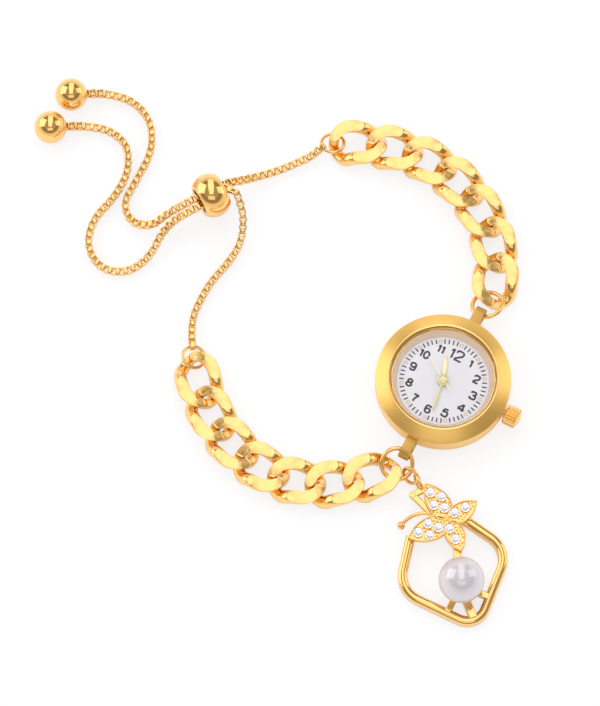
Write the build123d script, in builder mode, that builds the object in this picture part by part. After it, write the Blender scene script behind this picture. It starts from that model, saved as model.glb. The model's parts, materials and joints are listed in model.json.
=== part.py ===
from build123d import *
import os
from math import atan2, cos, degrees, radians, sin, tan

os.makedirs("parts", exist_ok=True)

# Bracelet watch with a curb chain band, a sliding box chain clasp and a butterfly charm.
# Millimetres. The origin is the middle of the case back's outer face, on the table. +Z goes up
# through the dial, +Y points to 12 o'clock and +X to 3 o'clock, where the crown is.

# Fits shared by many pieces
fit_gap = 0.03
play = 0.05
overrun = 1.0

# Case, whose widths step in from its outer diameter
case_diameter = 24.5
case_foot_inset = 0.85
case_foot_rise = 1.5
case_top = 4.8
case_wall = 1.65
ledge_width = 0.8
spigot_wall = 1.1
spigot_height = 0.7
back_proud = 0.35
back_rim = 0.5
back_thickness = 0.9
back_lip_height = 0.7
back_lip_wall = 0.6
back_edge = 0.2
gasket_inset = 0.15
gasket_width = 0.3
gasket_height = 0.25
case_bore = case_diameter - 2 * case_wall
case_foot_diameter = case_diameter - 2 * case_foot_inset
ledge_bore = case_bore - 2 * ledge_width
spigot_diameter = ledge_bore + 2 * spigot_wall
back_diameter = case_bore + 2 * back_rim
gasket_groove_diameter = case_bore + 2 * gasket_inset

# Lugs, one at 12 and one at 6 o'clock, each pierced from side to side
lug_width = 1.7
lug_thickness = 3.0
lug_hole_diameter = 2.05
lug_hole_stand_off = 2.3
lug_height = 2.6
lug_hole_reach = case_diameter / 2 + lug_hole_stand_off

# Bezel and crystal
bezel_wall = 0.35
bezel_rise = 1.5
bezel_inner_flat = 0.15
bezel_bulge_height = 0.12
crystal_seat_width = 0.4
crystal_thickness = 1.0
crystal_bevel = 0.2
crystal_dome = 0.35
crystal_gasket_width = 0.34
crystal_gasket_height = 0.7
dial_ring_inset = 0.25
dial_ring_slope_width = 0.8
dial_ring_lip = 0.2
crystal_diameter = ledge_bore - 2 * crystal_seat_width
dial_ring_top_bore = crystal_diameter - 2 * dial_ring_inset
dial_ring_low_bore = dial_ring_top_bore - 2 * dial_ring_slope_width

# Dial and hands
dial_thickness = 0.32
dial_hole_diameter = 2.0
hand_thickness = 0.12
hand_gap = 0.15
hand_hub_diameter = 2.1
hour_hand_width = 0.9
minute_hand_width = 0.7
second_hand_width = 0.22
hour_hand_share = 0.56
minute_hand_share = 0.742
second_hand_share = 0.61
second_hand_tail_share = 0.24
hour_hand_angle = -341
minute_hand_angle = -170.7
second_hand_angle = -302
hand_belly_share = 0.45

# Movement, a small quartz one. Its plan is laid out in shares of the plate's radius.
holder_wall = 1.3
plate_diameter = case_bore - 2 * holder_wall
plate_low = 2.5
plate_thickness = 0.6
holder_gap = 0.05
dial_seat = 3.52
bridge_low = 1.15
bridge_thickness = 0.3
bridge_outline_shares = ((-0.58, -0.12), (0.32, -0.44), (0.48, -0.34), (0.5, 0.12),
                         (-0.06, 0.46), (-0.21, 0.43), (-0.58, 0.12))
bridge_pillar_shares = ((-0.13, 0.385), (0.385, -0.365))
bridge_pillar_diameter = 0.7
train_heading = 30
wheel_thickness = 0.1
wheel_step = 0.3
arbor_diameter = 0.24
pivot_gap = 0.04
mesh_gap = 0.05
third_distance_share = 0.344
intermediate_distance_share = 0.323
rotor_distance_share = 0.194
minute_wheel_distance_share = 0.258
minute_wheel_heading = 200
seconds_to_third = 8
third_to_centre = 7.5
centre_to_minute = 3
minute_to_hour = 4
rotor_to_intermediate = 5
intermediate_to_seconds = 6
cannon_diameter = 0.9
hour_tube_diameter = 1.5
rotor_magnet_diameter = 1.6
rotor_magnet_height = 0.35
stator_thickness = 0.3
stator_length_share = 0.688
stator_width = 2.2
coil_diameter = 1.2
coil_length_share = 0.495
coil_reach_share = 0.774
coil_core_width = 0.8
coil_core_thickness = 0.3
board_reach_share = 0.484
board_thickness = 0.2
battery_diameter_share = 0.624
battery_thickness = 2.0
battery_distance_share = 0.656
battery_heading = 300
battery_edge = 0.15
clamp_thickness = 0.12
clamp_width = 1.6
clamp_gap = 0.05

# Crown and stem
stem_height = 2.8
stem_diameter = 1.0
stem_inner_share = 0.677
stem_groove_diameter = 0.6
stem_groove_share = 0.753
stem_groove_width = 0.4
lever_thickness = 0.25
lever_drop = 1.0
lever_length_share = 0.323
lever_prong = 0.25
crown_tube_diameter = 1.7
crown_tube_depth = 1.45
crown_tube_proud = 0.2
crown_diameter = 3.7
crown_length = 2.6
crown_gap = 0.35
crown_bore_depth = 1.3
crown_dome = 0.35
crown_flutes = 20
crown_flute_diameter = 0.42
crown_edge = 0.25

# Curb links: round wire bent round a twisted oval and ground flat above and below
link_wire = 2.0
link_half_length = 4.55
link_half_width = 2.8
link_end_half_bar = 1.8
link_end_twist = 55
link_side_reach = 2.3
link_side_rise = 1.2
link_thickness = 3.2
link_pitch = 6.85
wire_bend_share = 0.48
link_height = link_thickness / 2
upper_link_headings = (110, 128, 146, 160, 178, 193, 203)
lower_link_headings = (-133, -147, -165, -184, -201, -216, -229)

# Rings
jump_ring_diameter = 6.4
jump_wire = 0.8
upper_ring_pitch_angle = 10
upper_ring_roll_angle = 20
upper_ring_heading = 82
upper_ring_catch = 97
lower_ring_pitch_angle = 14
lower_ring_roll_angle = 14
lower_ring_heading = -100
lower_ring_catch = -125
jump_ring_overlap = 2.3
end_ring_diameter = 4.8
end_wire = 0.6
end_ring_overlap = 2.0
end_ring_roll_angle = 15
upper_end_ring_heading = 206
upper_end_ring_catch = 232
lower_end_ring_heading = -224
lower_end_ring_catch = -236

# Box chain: square rings, alternately flat and upright, each one through the next
box_width = 1.4
box_length = 1.1
box_wall = 0.15
box_band = 0.56
box_pitch = 0.715
box_end_length = 1.5
box_end_gap = 0.15
box_height = 0.76
route_bend_share = 0.49

# Slider bead, its rubber grip and the end balls
slider_diameter = 8.3
slider_length = 5.0
slider_end_diameter = 6.2
slider_bore = 5.0
slider_x = -53.8
slider_y = 12.2
slider_heading = 57
grip_bore = 3.9
grip_length = 4.0
rail_spacing = 1.7
rail_run = 8.0
rail_lead_length = 3.2
rail_mouth_length = 2.0
open_end_reach = 4.3
open_end_offset = 1.9
ball_diameter = 6.0
ball_bore = 2.3
ball_bore_depth = 1.6

# Routes of the box chain. Spans: shares along and beside the line from end ring to slider, and a
# share of the slider's height. Tails: shares of the tails' reach from the slider, and of its height.
upper_span_shares = ((0.12, 0.03, 0.06), (0.45, 0.035, 0), (0.78, 0.01, 0.3))
lower_span_shares = ((0.08, 0.03, 0.05), (0.2, 0.054, 0), (0.413, 0.019, 0), (0.603, -0.069, 0),
                     (0.735, -0.105, 0.15), (0.885, -0.078, 0.6))
tail_reach = 30.0
upper_tail_shares = ((-0.247, -0.33, 0.35), (-0.377, -0.347, 0), (-0.475, -0.262, 0), (-0.475, -0.06, 0),
                     (-0.48, 0.12, 0), (-0.57, 0.29, 0), (-0.74, 0.37, 0), (-0.92, 0.33, 0),
                     (-1.03, 0.245, 0))
lower_tail_shares = ((-0.165, -0.33, 0.35), (-0.165, -0.5, 0), (-0.24, -0.65, 0), (-0.4, -0.7, 0),
                     (-0.54, -0.61, 0), (-0.59, -0.44, 0), (-0.54, -0.24, 0), (-0.545, -0.06, 0),
                     (-0.63, 0.09, 0), (-0.78, 0.13, 0), (-0.93, 0.08, 0), (-1.04, -0.005, 0))

# Charm, in its own frame: the eye loop's centre is its origin and +X runs to its bottom corner
charm_ring_diameter = 3.7
charm_wire = 0.65
charm_ring_slant = 60
eye_height = 1.5
charm_catch = -16
charm_heading = -41.6
eye_diameter = 3.7
eye_wire = 0.7
eye_spacing = 0.95
frame_band = 1.3
frame_depth = 1.9
frame_edge = 0.4
frame_top_reach = 1.2
frame_side_reach = 17.1
frame_bottom_reach = 29.9
frame_half_width = 11.85
frame_side_radius = 5.8
frame_bottom_radius = 4.3
frame_cut_reach = 8.7
wing_joint_x = 8.8
wing_joint_y = 2.5
wing_axis = -128
fore_wing_length = 8.2
fore_wing_width = 4.4
fore_wing_angle = 41
hind_wing_length = 6.1
hind_wing_width = 3.7
hind_wing_angle = 126.5
wing_belly_share = 0.4
wing_thickness = 1.1
wing_rim = 0.3
wing_rim_height = 0.35
stem_bar_width = 1.5
stem_bar_depth = 1.4
stem_bar_start = 12.6
spoke_width = 1.2
hub_diameter = 4.6
pearl_diameter = 8.2
pearl_flat = 0.45
pearl_reach = 20.4
strut_width = 0.8
strut_x = 1.9
strut_y = -1.9
antenna_wire = 0.55
antenna_ball = 1.5
antenna_x = 6.4
antenna_y = -5.9
antenna_bow = 0.9
stone_diameter = 1.8
stone_girdle = 0.25
stone_crown = 0.4
stone_sides = 8
stone_table_share = 0.6
# Stones of each wing, as shares of its length, along it and towards the fore wing or the body
fore_stone_shares = ((0.745, 0.025), (0.545, -0.13), (0.47, 0.12), (0.293, -0.05))
hind_stone_shares = ((0.24, 0.1), (0.6, 0.04))

# Places worked out from the sizes above
dial_radius = dial_ring_low_bore / 2
hour_hand_length = dial_radius * hour_hand_share
minute_hand_length = dial_radius * minute_hand_share
second_hand_length = dial_radius * second_hand_share
second_hand_tail = dial_radius * second_hand_tail_share
plate_radius = plate_diameter / 2
third_distance = plate_radius * third_distance_share
intermediate_distance = plate_radius * intermediate_distance_share
rotor_distance = plate_radius * rotor_distance_share
minute_wheel_distance = plate_radius * minute_wheel_distance_share
stator_length = plate_radius * stator_length_share
coil_length = plate_radius * coil_length_share
coil_reach = plate_radius * coil_reach_share
board_reach = plate_radius * board_reach_share
battery_diameter = plate_radius * battery_diameter_share
battery_distance = plate_radius * battery_distance_share
stem_inner_reach = plate_radius * stem_inner_share
stem_groove_place = plate_radius * stem_groove_share
lever_length = plate_radius * lever_length_share
crown_start = case_diameter / 2 + crown_gap
crown_tube_start = case_diameter / 2 - crown_tube_depth
case_low = back_proud
movement_top = plate_low + plate_thickness
dial_top = dial_seat + dial_thickness
ledge_height = dial_top + fit_gap
bezel_top = case_top + bezel_rise
crystal_low = bezel_top - crystal_thickness
slider_height = slider_diameter / 2
jump_radius = (jump_ring_diameter - jump_wire) / 2
end_radius = (end_ring_diameter - end_wire) / 2
charm_radius = (charm_ring_diameter - charm_wire) / 2
eye_radius = (eye_diameter - eye_wire) / 2


def heading(angle, reach=1, height=0):
    """A level vector at an angle from +X, raised by a height."""
    return Vector(reach * cos(radians(angle)), reach * sin(radians(angle)), height)


def turned(height, angle):
    """A level plane at a height, turned about the watch's axis."""
    return Plane.XY.offset(height).rotated((0, 0, angle))


def save(piece, label):
    """Give a finished piece its label and write its STEP file."""
    piece.part.label = label
    export_step(piece.part, f"parts/{label}.step")
    print(label, len(piece.part.solids()), round(piece.part.volume, 3))


def bend_radii(points, share, free_ends=0):
    """The radius of each corner of a path: a share of the shorter run beside it."""
    radii = []
    for before, corner, after in zip(points, points[1:], points[2:]):
        back, ahead = before - corner, after - corner
        half_turn = radians(180 - back.get_angle(ahead)) / 2
        back_run = back.length + (free_ends if before is points[0] else 0)
        ahead_run = ahead.length + (free_ends if after is points[-1] else 0)
        radii.append(share * min(back_run, ahead_run) / tan(half_turn))
    return radii


def disc(radius, low, high, bore=0, cx=0, cy=0):
    """A flat disc or washer between two heights, added to the piece being built."""
    with BuildSketch(Plane.XY.offset(low)) as face:
        with Locations((cx, cy)):
            Circle(radius)
            if bore:
                Circle(bore, mode=Mode.SUBTRACT)
    extrude(face.sketch, amount=high - low)


# CASE

with BuildPart() as case_middle:
    with BuildSketch(Plane.XZ):
        with BuildLine():
            Polyline((case_foot_diameter / 2, case_low), (ledge_bore / 2, case_low),
                     (ledge_bore / 2, case_top + spigot_height),
                     (spigot_diameter / 2, case_top + spigot_height),
                     (spigot_diameter / 2, case_top), (case_diameter / 2, case_top),
                     (case_diameter / 2, case_low + case_foot_rise))
            TangentArc((case_diameter / 2, case_low + case_foot_rise),
                       (case_foot_diameter / 2, case_low), tangent=(0, -1))
        make_face()
    revolve(axis=Axis.Z)
    lug_run = lug_hole_reach - case_bore / 2
    with BuildSketch(Plane.YZ):
        with Locations((lug_hole_reach - lug_run / 2, lug_height),
                       (-lug_hole_reach + lug_run / 2, lug_height)):
            Rectangle(lug_run, lug_thickness)
        with Locations((lug_hole_reach, lug_height), (-lug_hole_reach, lug_height)):
            Circle(lug_thickness / 2)
    extrude(amount=lug_width / 2, both=True)
    with BuildSketch(Plane.YZ):
        with Locations((lug_hole_reach, lug_height), (-lug_hole_reach, lug_height)):
            Circle(lug_hole_diameter / 2)
    extrude(amount=lug_width, both=True, mode=Mode.SUBTRACT)
    with BuildSketch(Plane.XY.offset(case_low - overrun)):
        Circle(case_bore / 2)
    extrude(amount=ledge_height - case_low + overrun, mode=Mode.SUBTRACT)
    with BuildSketch(Plane.XY.offset(case_low - overrun)):
        Circle(back_diameter / 2 + fit_gap)
    extrude(amount=back_thickness - case_low + overrun, mode=Mode.SUBTRACT)
    with BuildSketch(Plane.XY.offset(back_thickness)):
        Circle(gasket_groove_diameter / 2 + gasket_width + fit_gap)
        Circle(gasket_groove_diameter / 2 - fit_gap, mode=Mode.SUBTRACT)
    extrude(amount=gasket_height + fit_gap, mode=Mode.SUBTRACT)
    with BuildSketch(Plane.YZ.offset(ledge_bore / 2 - overrun)):
        with Locations((0, stem_height)):
            Circle(crown_tube_diameter / 2 + fit_gap)
    extrude(amount=case_diameter / 2, mode=Mode.SUBTRACT)
save(case_middle, "case_middle")

with BuildPart() as case_back:
    disc(back_diameter / 2, 0, back_thickness)
    chamfer(case_back.edges().group_by(Axis.Z)[0], length=back_edge)
    lip_radius = case_bore / 2 - fit_gap
    disc(lip_radius, back_thickness, back_thickness + back_lip_height, lip_radius - back_lip_wall)
save(case_back, "case_back")

with BuildPart() as back_gasket:
    gasket_radius = gasket_groove_diameter / 2 + gasket_width
    disc(gasket_radius, back_thickness, back_thickness + gasket_height, gasket_groove_diameter / 2)
save(back_gasket, "back_gasket")

with BuildPart() as bezel:
    bezel_bore = spigot_diameter / 2 + fit_gap
    bezel_lip = crystal_diameter / 2 + crystal_gasket_width + 2 * fit_gap
    ledge_over_spigot = case_top + spigot_height + fit_gap
    with BuildSketch(Plane.XZ):
        with BuildLine():
            Polyline((bezel_lip + bezel_inner_flat, bezel_top), (bezel_lip, bezel_top),
                     (bezel_lip, ledge_over_spigot), (bezel_bore, ledge_over_spigot),
                     (bezel_bore, case_top), (case_diameter / 2, case_top),
                     (case_diameter / 2, case_top + bezel_wall))
            SagittaArc((case_diameter / 2, case_top + bezel_wall),
                       (bezel_lip + bezel_inner_flat, bezel_top), bezel_bulge_height)
        make_face()
    revolve(axis=Axis.Z)
save(bezel, "bezel")

with BuildPart() as crystal:
    crystal_radius = crystal_diameter / 2
    with BuildSketch(Plane.XZ):
        with BuildLine():
            Polyline((0, bezel_top + crystal_dome), (0, crystal_low), (crystal_radius, crystal_low),
                     (crystal_radius, bezel_top - crystal_bevel),
                     (crystal_radius - crystal_bevel, bezel_top))
            TangentArc((0, bezel_top + crystal_dome), (crystal_radius - crystal_bevel, bezel_top),
                       tangent=(1, 0))
        make_face()
    revolve(axis=Axis.Z)
save(crystal, "crystal")

with BuildPart() as crystal_gasket:
    disc(crystal_radius + fit_gap + crystal_gasket_width, crystal_low,
         crystal_low + crystal_gasket_height, crystal_radius + fit_gap)
save(crystal_gasket, "crystal_gasket")

with BuildPart() as dial_ring:
    with BuildSketch(Plane.XZ):
        with BuildLine():
            Polyline((dial_ring_low_bore / 2, dial_top + fit_gap),
                     (ledge_bore / 2 - fit_gap, dial_top + fit_gap),
                     (ledge_bore / 2 - fit_gap, crystal_low - fit_gap),
                     (dial_ring_top_bore / 2, crystal_low - fit_gap),
                     (dial_ring_low_bore / 2, dial_top + fit_gap + dial_ring_lip), close=True)
        make_face()
    revolve(axis=Axis.Z)
save(dial_ring, "dial_ring")

with BuildPart() as dial:
    disc(case_bore / 2 - 2 * fit_gap, dial_seat, dial_top, dial_hole_diameter / 2)
save(dial, "dial")

# MOVEMENT

battery_place = heading(battery_heading, battery_distance)
third_place = heading(train_heading, third_distance)
intermediate_place = heading(train_heading + 180, intermediate_distance)
rotor_place = heading(train_heading + 180, intermediate_distance + rotor_distance)
minute_wheel_place = heading(minute_wheel_heading, minute_wheel_distance)
pivot_hole = arbor_diameter / 2 + pivot_gap
bridge_top = bridge_low + bridge_thickness
first_level = bridge_top + wheel_thickness + play
second_level = first_level + wheel_step
third_level = second_level + wheel_step
motion_level = movement_top + play

with BuildPart() as movement_holder:
    disc(case_bore / 2 - fit_gap, back_thickness + back_lip_height + play, dial_seat - play,
         plate_radius + holder_gap)
    with BuildSketch(Plane.YZ.offset(plate_radius - overrun)):
        with Locations((0, stem_height)):
            Circle(stem_diameter / 2 + 2 * play)
    extrude(amount=case_bore / 2, mode=Mode.SUBTRACT)
save(movement_holder, "movement_holder")

with BuildPart() as main_plate:
    disc(plate_radius, plate_low, movement_top)
    with BuildSketch(Plane.XY.offset(plate_low)):
        with Locations((battery_place.X, battery_place.Y)):
            Circle(battery_diameter / 2 + holder_gap)
        Circle(cannon_diameter / 2 + play)
        with Locations(*[(p.X, p.Y) for p in (third_place, intermediate_place, rotor_place,
                                              minute_wheel_place)]):
            Circle(pivot_hole)
        slot_run = plate_radius - stem_inner_reach + overrun
        with Locations((stem_inner_reach - play + slot_run / 2, 0)):
            Rectangle(slot_run, stem_diameter + 4 * play)
    extrude(amount=plate_thickness, mode=Mode.SUBTRACT)
save(main_plate, "main_plate")

with BuildPart() as train_bridge:
    with BuildSketch(turned(bridge_low, train_heading)):
        with BuildLine():
            Polyline(*[(plate_radius * x, plate_radius * y) for x, y in bridge_outline_shares],
                     close=True)
        make_face()
        for place, reach in ((-1, intermediate_distance), (-1, intermediate_distance + rotor_distance),
                             (1, third_distance), (1, 0)):
            with Locations((place * reach, 0)):
                Circle(pivot_hole, mode=Mode.SUBTRACT)
    extrude(amount=bridge_thickness)
    with BuildSketch(turned(bridge_top, train_heading)):
        with Locations(*[(plate_radius * x, plate_radius * y) for x, y in bridge_pillar_shares]):
            Circle(bridge_pillar_diameter / 2)
    extrude(amount=plate_low - bridge_top)
save(train_bridge, "train_bridge")

third_pinion = third_distance / (1 + seconds_to_third)
third_wheel_radius = third_distance - third_pinion - mesh_gap
centre_pinion = third_distance / (1 + third_to_centre)
centre_wheel_radius = third_distance - centre_pinion - mesh_gap
seconds_pinion = intermediate_distance / (1 + intermediate_to_seconds)
seconds_wheel_radius = intermediate_distance - seconds_pinion - mesh_gap
rotor_pinion = rotor_distance / (1 + rotor_to_intermediate)
intermediate_wheel_radius = rotor_distance - rotor_pinion - mesh_gap
cannon_pinion = minute_wheel_distance / (1 + centre_to_minute)
minute_wheel_radius = minute_wheel_distance - cannon_pinion - mesh_gap
minute_pinion = minute_wheel_distance / (1 + minute_to_hour)
hour_wheel_radius = minute_wheel_distance - minute_pinion - mesh_gap
hour_hand_low = dial_top + 2 * hand_gap
minute_hand_low = hour_hand_low + hand_thickness + hand_gap
second_hand_low = minute_hand_low + hand_thickness + hand_gap
pin_top = second_hand_low + hand_thickness
arbor = arbor_diameter / 2

with BuildPart() as seconds_wheel:
    disc(arbor, bridge_low, pin_top)
    disc(third_pinion, first_level - play, first_level + wheel_thickness + play)
    disc(seconds_wheel_radius, second_level, second_level + wheel_thickness)
save(seconds_wheel, "seconds_wheel")

with BuildPart() as third_wheel:
    disc(arbor, bridge_low, movement_top, cx=third_place.X, cy=third_place.Y)
    disc(third_wheel_radius, first_level, first_level + wheel_thickness,
         cx=third_place.X, cy=third_place.Y)
    disc(centre_pinion, third_level - play, third_level + wheel_thickness + play,
         cx=third_place.X, cy=third_place.Y)
save(third_wheel, "third_wheel")

with BuildPart() as centre_wheel:
    disc(centre_wheel_radius, third_level, third_level + wheel_thickness, arbor + pivot_gap)
    disc(cannon_diameter / 2, third_level + wheel_thickness, minute_hand_low, arbor + pivot_gap)
    disc(cannon_pinion, motion_level, motion_level + wheel_thickness, arbor + pivot_gap)
save(centre_wheel, "centre_wheel")

with BuildPart() as intermediate_wheel:
    disc(arbor, bridge_low, movement_top, cx=intermediate_place.X, cy=intermediate_place.Y)
    disc(intermediate_wheel_radius, first_level, first_level + wheel_thickness,
         cx=intermediate_place.X, cy=intermediate_place.Y)
    disc(seconds_pinion, second_level - play, second_level + wheel_thickness + play,
         cx=intermediate_place.X, cy=intermediate_place.Y)
save(intermediate_wheel, "intermediate_wheel")

with BuildPart() as rotor:
    disc(arbor, bridge_low, movement_top, cx=rotor_place.X, cy=rotor_place.Y)
    disc(rotor_pinion, first_level - play, first_level + wheel_thickness + play,
         cx=rotor_place.X, cy=rotor_place.Y)
    disc(rotor_magnet_diameter / 2, second_level, second_level + rotor_magnet_height,
         cx=rotor_place.X, cy=rotor_place.Y)
save(rotor, "rotor")

with BuildPart() as minute_wheel:
    minute_x, minute_y = minute_wheel_place.X, minute_wheel_place.Y
    disc(arbor, plate_low, motion_level + wheel_thickness, cx=minute_x, cy=minute_y)
    disc(minute_wheel_radius, motion_level, motion_level + wheel_thickness, cx=minute_x, cy=minute_y)
    disc(minute_pinion, motion_level + wheel_thickness, dial_seat - play, cx=minute_x, cy=minute_y)
save(minute_wheel, "minute_wheel")

with BuildPart() as hour_wheel:
    hour_bore = cannon_diameter / 2 + pivot_gap
    hour_level = motion_level + wheel_thickness + pivot_gap
    disc(hour_wheel_radius, hour_level, hour_level + wheel_thickness, hour_bore)
    disc(hour_tube_diameter / 2, hour_level + wheel_thickness, hour_hand_low, hour_bore)
save(hour_wheel, "hour_wheel")

with BuildPart() as stator:
    rotor_reach = intermediate_distance + rotor_distance
    with BuildSketch(turned(second_level, train_heading + 180)):
        with Locations((rotor_reach, 0)):
            Rectangle(stator_width, stator_length)
        leg_run = coil_reach + coil_core_width / 2 - rotor_reach
        leg_place = (stator_length - coil_core_width) / 2
        with Locations((rotor_reach + leg_run / 2, leg_place), (rotor_reach + leg_run / 2, -leg_place)):
            Rectangle(leg_run, coil_core_width)
        with Locations((rotor_reach, 0)):
            Circle(rotor_magnet_diameter / 2 + 2 * play, mode=Mode.SUBTRACT)
        Circle(intermediate_distance + seconds_pinion + play, mode=Mode.SUBTRACT)
    extrude(amount=stator_thickness)
save(stator, "stator")

with BuildPart() as coil:
    coil_height = (bridge_low + plate_low) / 2
    with BuildSketch(Plane(origin=heading(train_heading + 180, coil_reach, coil_height)
                           - heading(train_heading + 90, coil_length / 2),
                           z_dir=heading(train_heading + 90))):
        Circle(coil_diameter / 2)
    extrude(amount=coil_length)
    with BuildSketch(turned(second_level - coil_core_thickness, train_heading + 180)):
        with Locations((coil_reach, 0)):
            Rectangle(coil_core_width, stator_length)
    extrude(amount=coil_core_thickness)
save(coil, "coil")

with BuildPart() as circuit_board:
    with BuildSketch(turned(bridge_low, train_heading + 90)):
        Circle(plate_radius - play)
        with Locations((board_reach - plate_diameter / 2, 0)):
            Rectangle(plate_diameter, plate_diameter, mode=Mode.SUBTRACT)
    extrude(amount=board_thickness)
    board_post = (plate_radius + board_reach) / 2
    with BuildSketch(turned(bridge_low + board_thickness, train_heading + 90)):
        with Locations((board_post, 0)):
            Circle(bridge_pillar_diameter / 2)
    extrude(amount=plate_low - bridge_low - board_thickness)
save(circuit_board, "circuit_board")

with BuildPart() as battery:
    battery_low = bridge_low
    disc(battery_diameter / 2, battery_low, battery_low + battery_thickness,
         cx=battery_place.X, cy=battery_place.Y)
    chamfer(battery.edges(), length=battery_edge)
save(battery, "battery")

with BuildPart() as battery_clamp:
    with BuildSketch(turned(battery_low - clamp_gap - clamp_thickness, battery_heading)):
        with Locations((battery_distance, 0)):
            Rectangle(clamp_width, battery_diameter + 2 * clamp_width)
    extrude(amount=clamp_thickness)
    with BuildSketch(turned(battery_low - clamp_gap, battery_heading)):
        foot_place = battery_diameter / 2 + clamp_width / 2 + holder_gap
        with Locations((battery_distance, foot_place), (battery_distance, -foot_place)):
            Rectangle(clamp_width / 2, clamp_width / 2)
    extrude(amount=plate_low - battery_low + clamp_gap)
save(battery_clamp, "battery_clamp")

# HANDS


def leaf_hand(label, low, angle, length, width, bore):
    """A hand with a slim leaf blade and a round hub on its tube or pin."""
    with BuildPart() as hand:
        with BuildSketch(turned(low, angle)):
            with BuildLine():
                belly = (width / 2, length * hand_belly_share)
                ThreePointArc((0, 0), belly, (0, length))
                ThreePointArc((0, length), (-width / 2, length * hand_belly_share), (0, 0))
            make_face()
            Circle(hand_hub_diameter / 2)
            Circle(bore, mode=Mode.SUBTRACT)
        extrude(amount=hand_thickness)
    save(hand, label)


leaf_hand("hour_hand", hour_hand_low, hour_hand_angle, hour_hand_length, hour_hand_width,
          cannon_diameter / 2 + pivot_gap)
leaf_hand("minute_hand", minute_hand_low, minute_hand_angle, minute_hand_length, minute_hand_width,
          arbor + pivot_gap)

with BuildPart() as second_hand:
    with BuildSketch(turned(second_hand_low, second_hand_angle)):
        Circle(hand_hub_diameter / 4)
        with Locations((0, (second_hand_length - second_hand_tail) / 2)):
            Rectangle(second_hand_width, second_hand_length + second_hand_tail)
        Circle(arbor, mode=Mode.SUBTRACT)
    extrude(amount=hand_thickness)
save(second_hand, "second_hand")

# CROWN

with BuildPart() as crown_tube:
    with BuildSketch(Plane.YZ.offset(crown_tube_start)):
        with Locations((0, stem_height)):
            Circle(crown_tube_diameter / 2)
            Circle(stem_diameter / 2 + play, mode=Mode.SUBTRACT)
    extrude(amount=case_diameter / 2 + crown_tube_proud - crown_tube_start)
save(crown_tube, "crown_tube")

crown_axis = Axis((0, 0, stem_height), (1, 0, 0))

with BuildPart() as crown:
    crown_end = crown_start + crown_length
    with BuildSketch(Plane.YZ.offset(crown_start)):
        with Locations((0, stem_height)):
            Circle(crown_diameter / 2)
            with PolarLocations(crown_diameter / 2, crown_flutes):
                Circle(crown_flute_diameter / 2, mode=Mode.SUBTRACT)
    extrude(amount=crown_length + crown_dome)
    with BuildSketch(Plane.XZ):
        with BuildLine():
            Polyline((crown_end + crown_dome, stem_height), (crown_start - overrun, stem_height),
                     (crown_start - overrun, stem_height + crown_diameter / 2 - crown_edge - overrun),
                     (crown_start + crown_edge + overrun, stem_height + crown_diameter / 2 + overrun),
                     (crown_end - crown_edge - overrun, stem_height + crown_diameter / 2 + overrun),
                     (crown_end, stem_height + crown_diameter / 2 - crown_edge))
            TangentArc((crown_end + crown_dome, stem_height),
                       (crown_end, stem_height + crown_diameter / 2 - crown_edge), tangent=(0, 1))
        make_face()
    revolve(axis=crown_axis, mode=Mode.INTERSECT)
    with BuildSketch(Plane.YZ.offset(crown_start)):
        with Locations((0, stem_height)):
            Circle(stem_diameter / 2 + fit_gap)
    extrude(amount=crown_bore_depth, mode=Mode.SUBTRACT)
save(crown, "crown")

with BuildPart() as stem:
    with BuildSketch(Plane.YZ.offset(stem_inner_reach)):
        with Locations((0, stem_height)):
            Circle(stem_diameter / 2)
    extrude(amount=crown_start + crown_bore_depth - fit_gap - stem_inner_reach)
    with BuildSketch(Plane.YZ.offset(stem_groove_place)):
        with Locations((0, stem_height)):
            Circle(stem_diameter / 2 + overrun)
            Circle(stem_groove_diameter / 2, mode=Mode.SUBTRACT)
    extrude(amount=stem_groove_width, mode=Mode.SUBTRACT)
save(stem, "stem")

with BuildPart() as setting_lever:
    prong_inner = stem_groove_diameter / 2 + fit_gap
    lever_top = plate_low - play
    lever_low = stem_height - prong_inner - lever_drop / 2
    lever_start = stem_groove_place + (stem_groove_width - lever_thickness) / 2
    with BuildSketch(Plane.YZ.offset(lever_start)):
        with Locations((lever_length / 2 - stem_diameter / 2, (lever_low + lever_top) / 2)):
            Rectangle(lever_length, lever_top - lever_low)
        prong_top = stem_height + prong_inner
        for side in (-1, 1):
            with Locations((side * (prong_inner + lever_prong / 2), (lever_low + prong_top) / 2)):
                Rectangle(lever_prong, prong_top - lever_low)
        with Locations((0, stem_height)):
            Circle(prong_inner, mode=Mode.SUBTRACT)
    extrude(amount=lever_thickness)
save(setting_lever, "setting_lever")

# CURB LINKS

end_rise = link_end_half_bar * sin(radians(link_end_twist))
end_side = link_end_half_bar * cos(radians(link_end_twist))
half_path = [Vector(link_half_length, 0, 0),
             Vector(link_half_length, end_side, -end_rise),
             Vector(link_side_reach, link_half_width, -link_side_rise),
             Vector(-link_side_reach, link_half_width, link_side_rise),
             Vector(-link_half_length, end_side, end_rise),
             Vector(-link_half_length, 0, 0)]

with BuildPart() as half_link:
    with BuildLine() as half_wire:
        FilletPolyline(*half_path, radius=bend_radii(half_path, wire_bend_share, link_end_half_bar))
    with BuildSketch(Plane(origin=half_path[0], z_dir=half_wire.wires()[0] % 0)):
        Circle(link_wire / 2)
    sweep(path=half_wire.wires()[0])

with BuildPart() as curb_link:
    add(half_link.part)
    add(half_link.part, rotation=(0, 0, 180))
    split(bisect_by=Plane.XY.offset(link_thickness / 2), keep=Keep.BOTTOM)
    split(bisect_by=Plane.XY.offset(-link_thickness / 2), keep=Keep.TOP)


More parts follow.
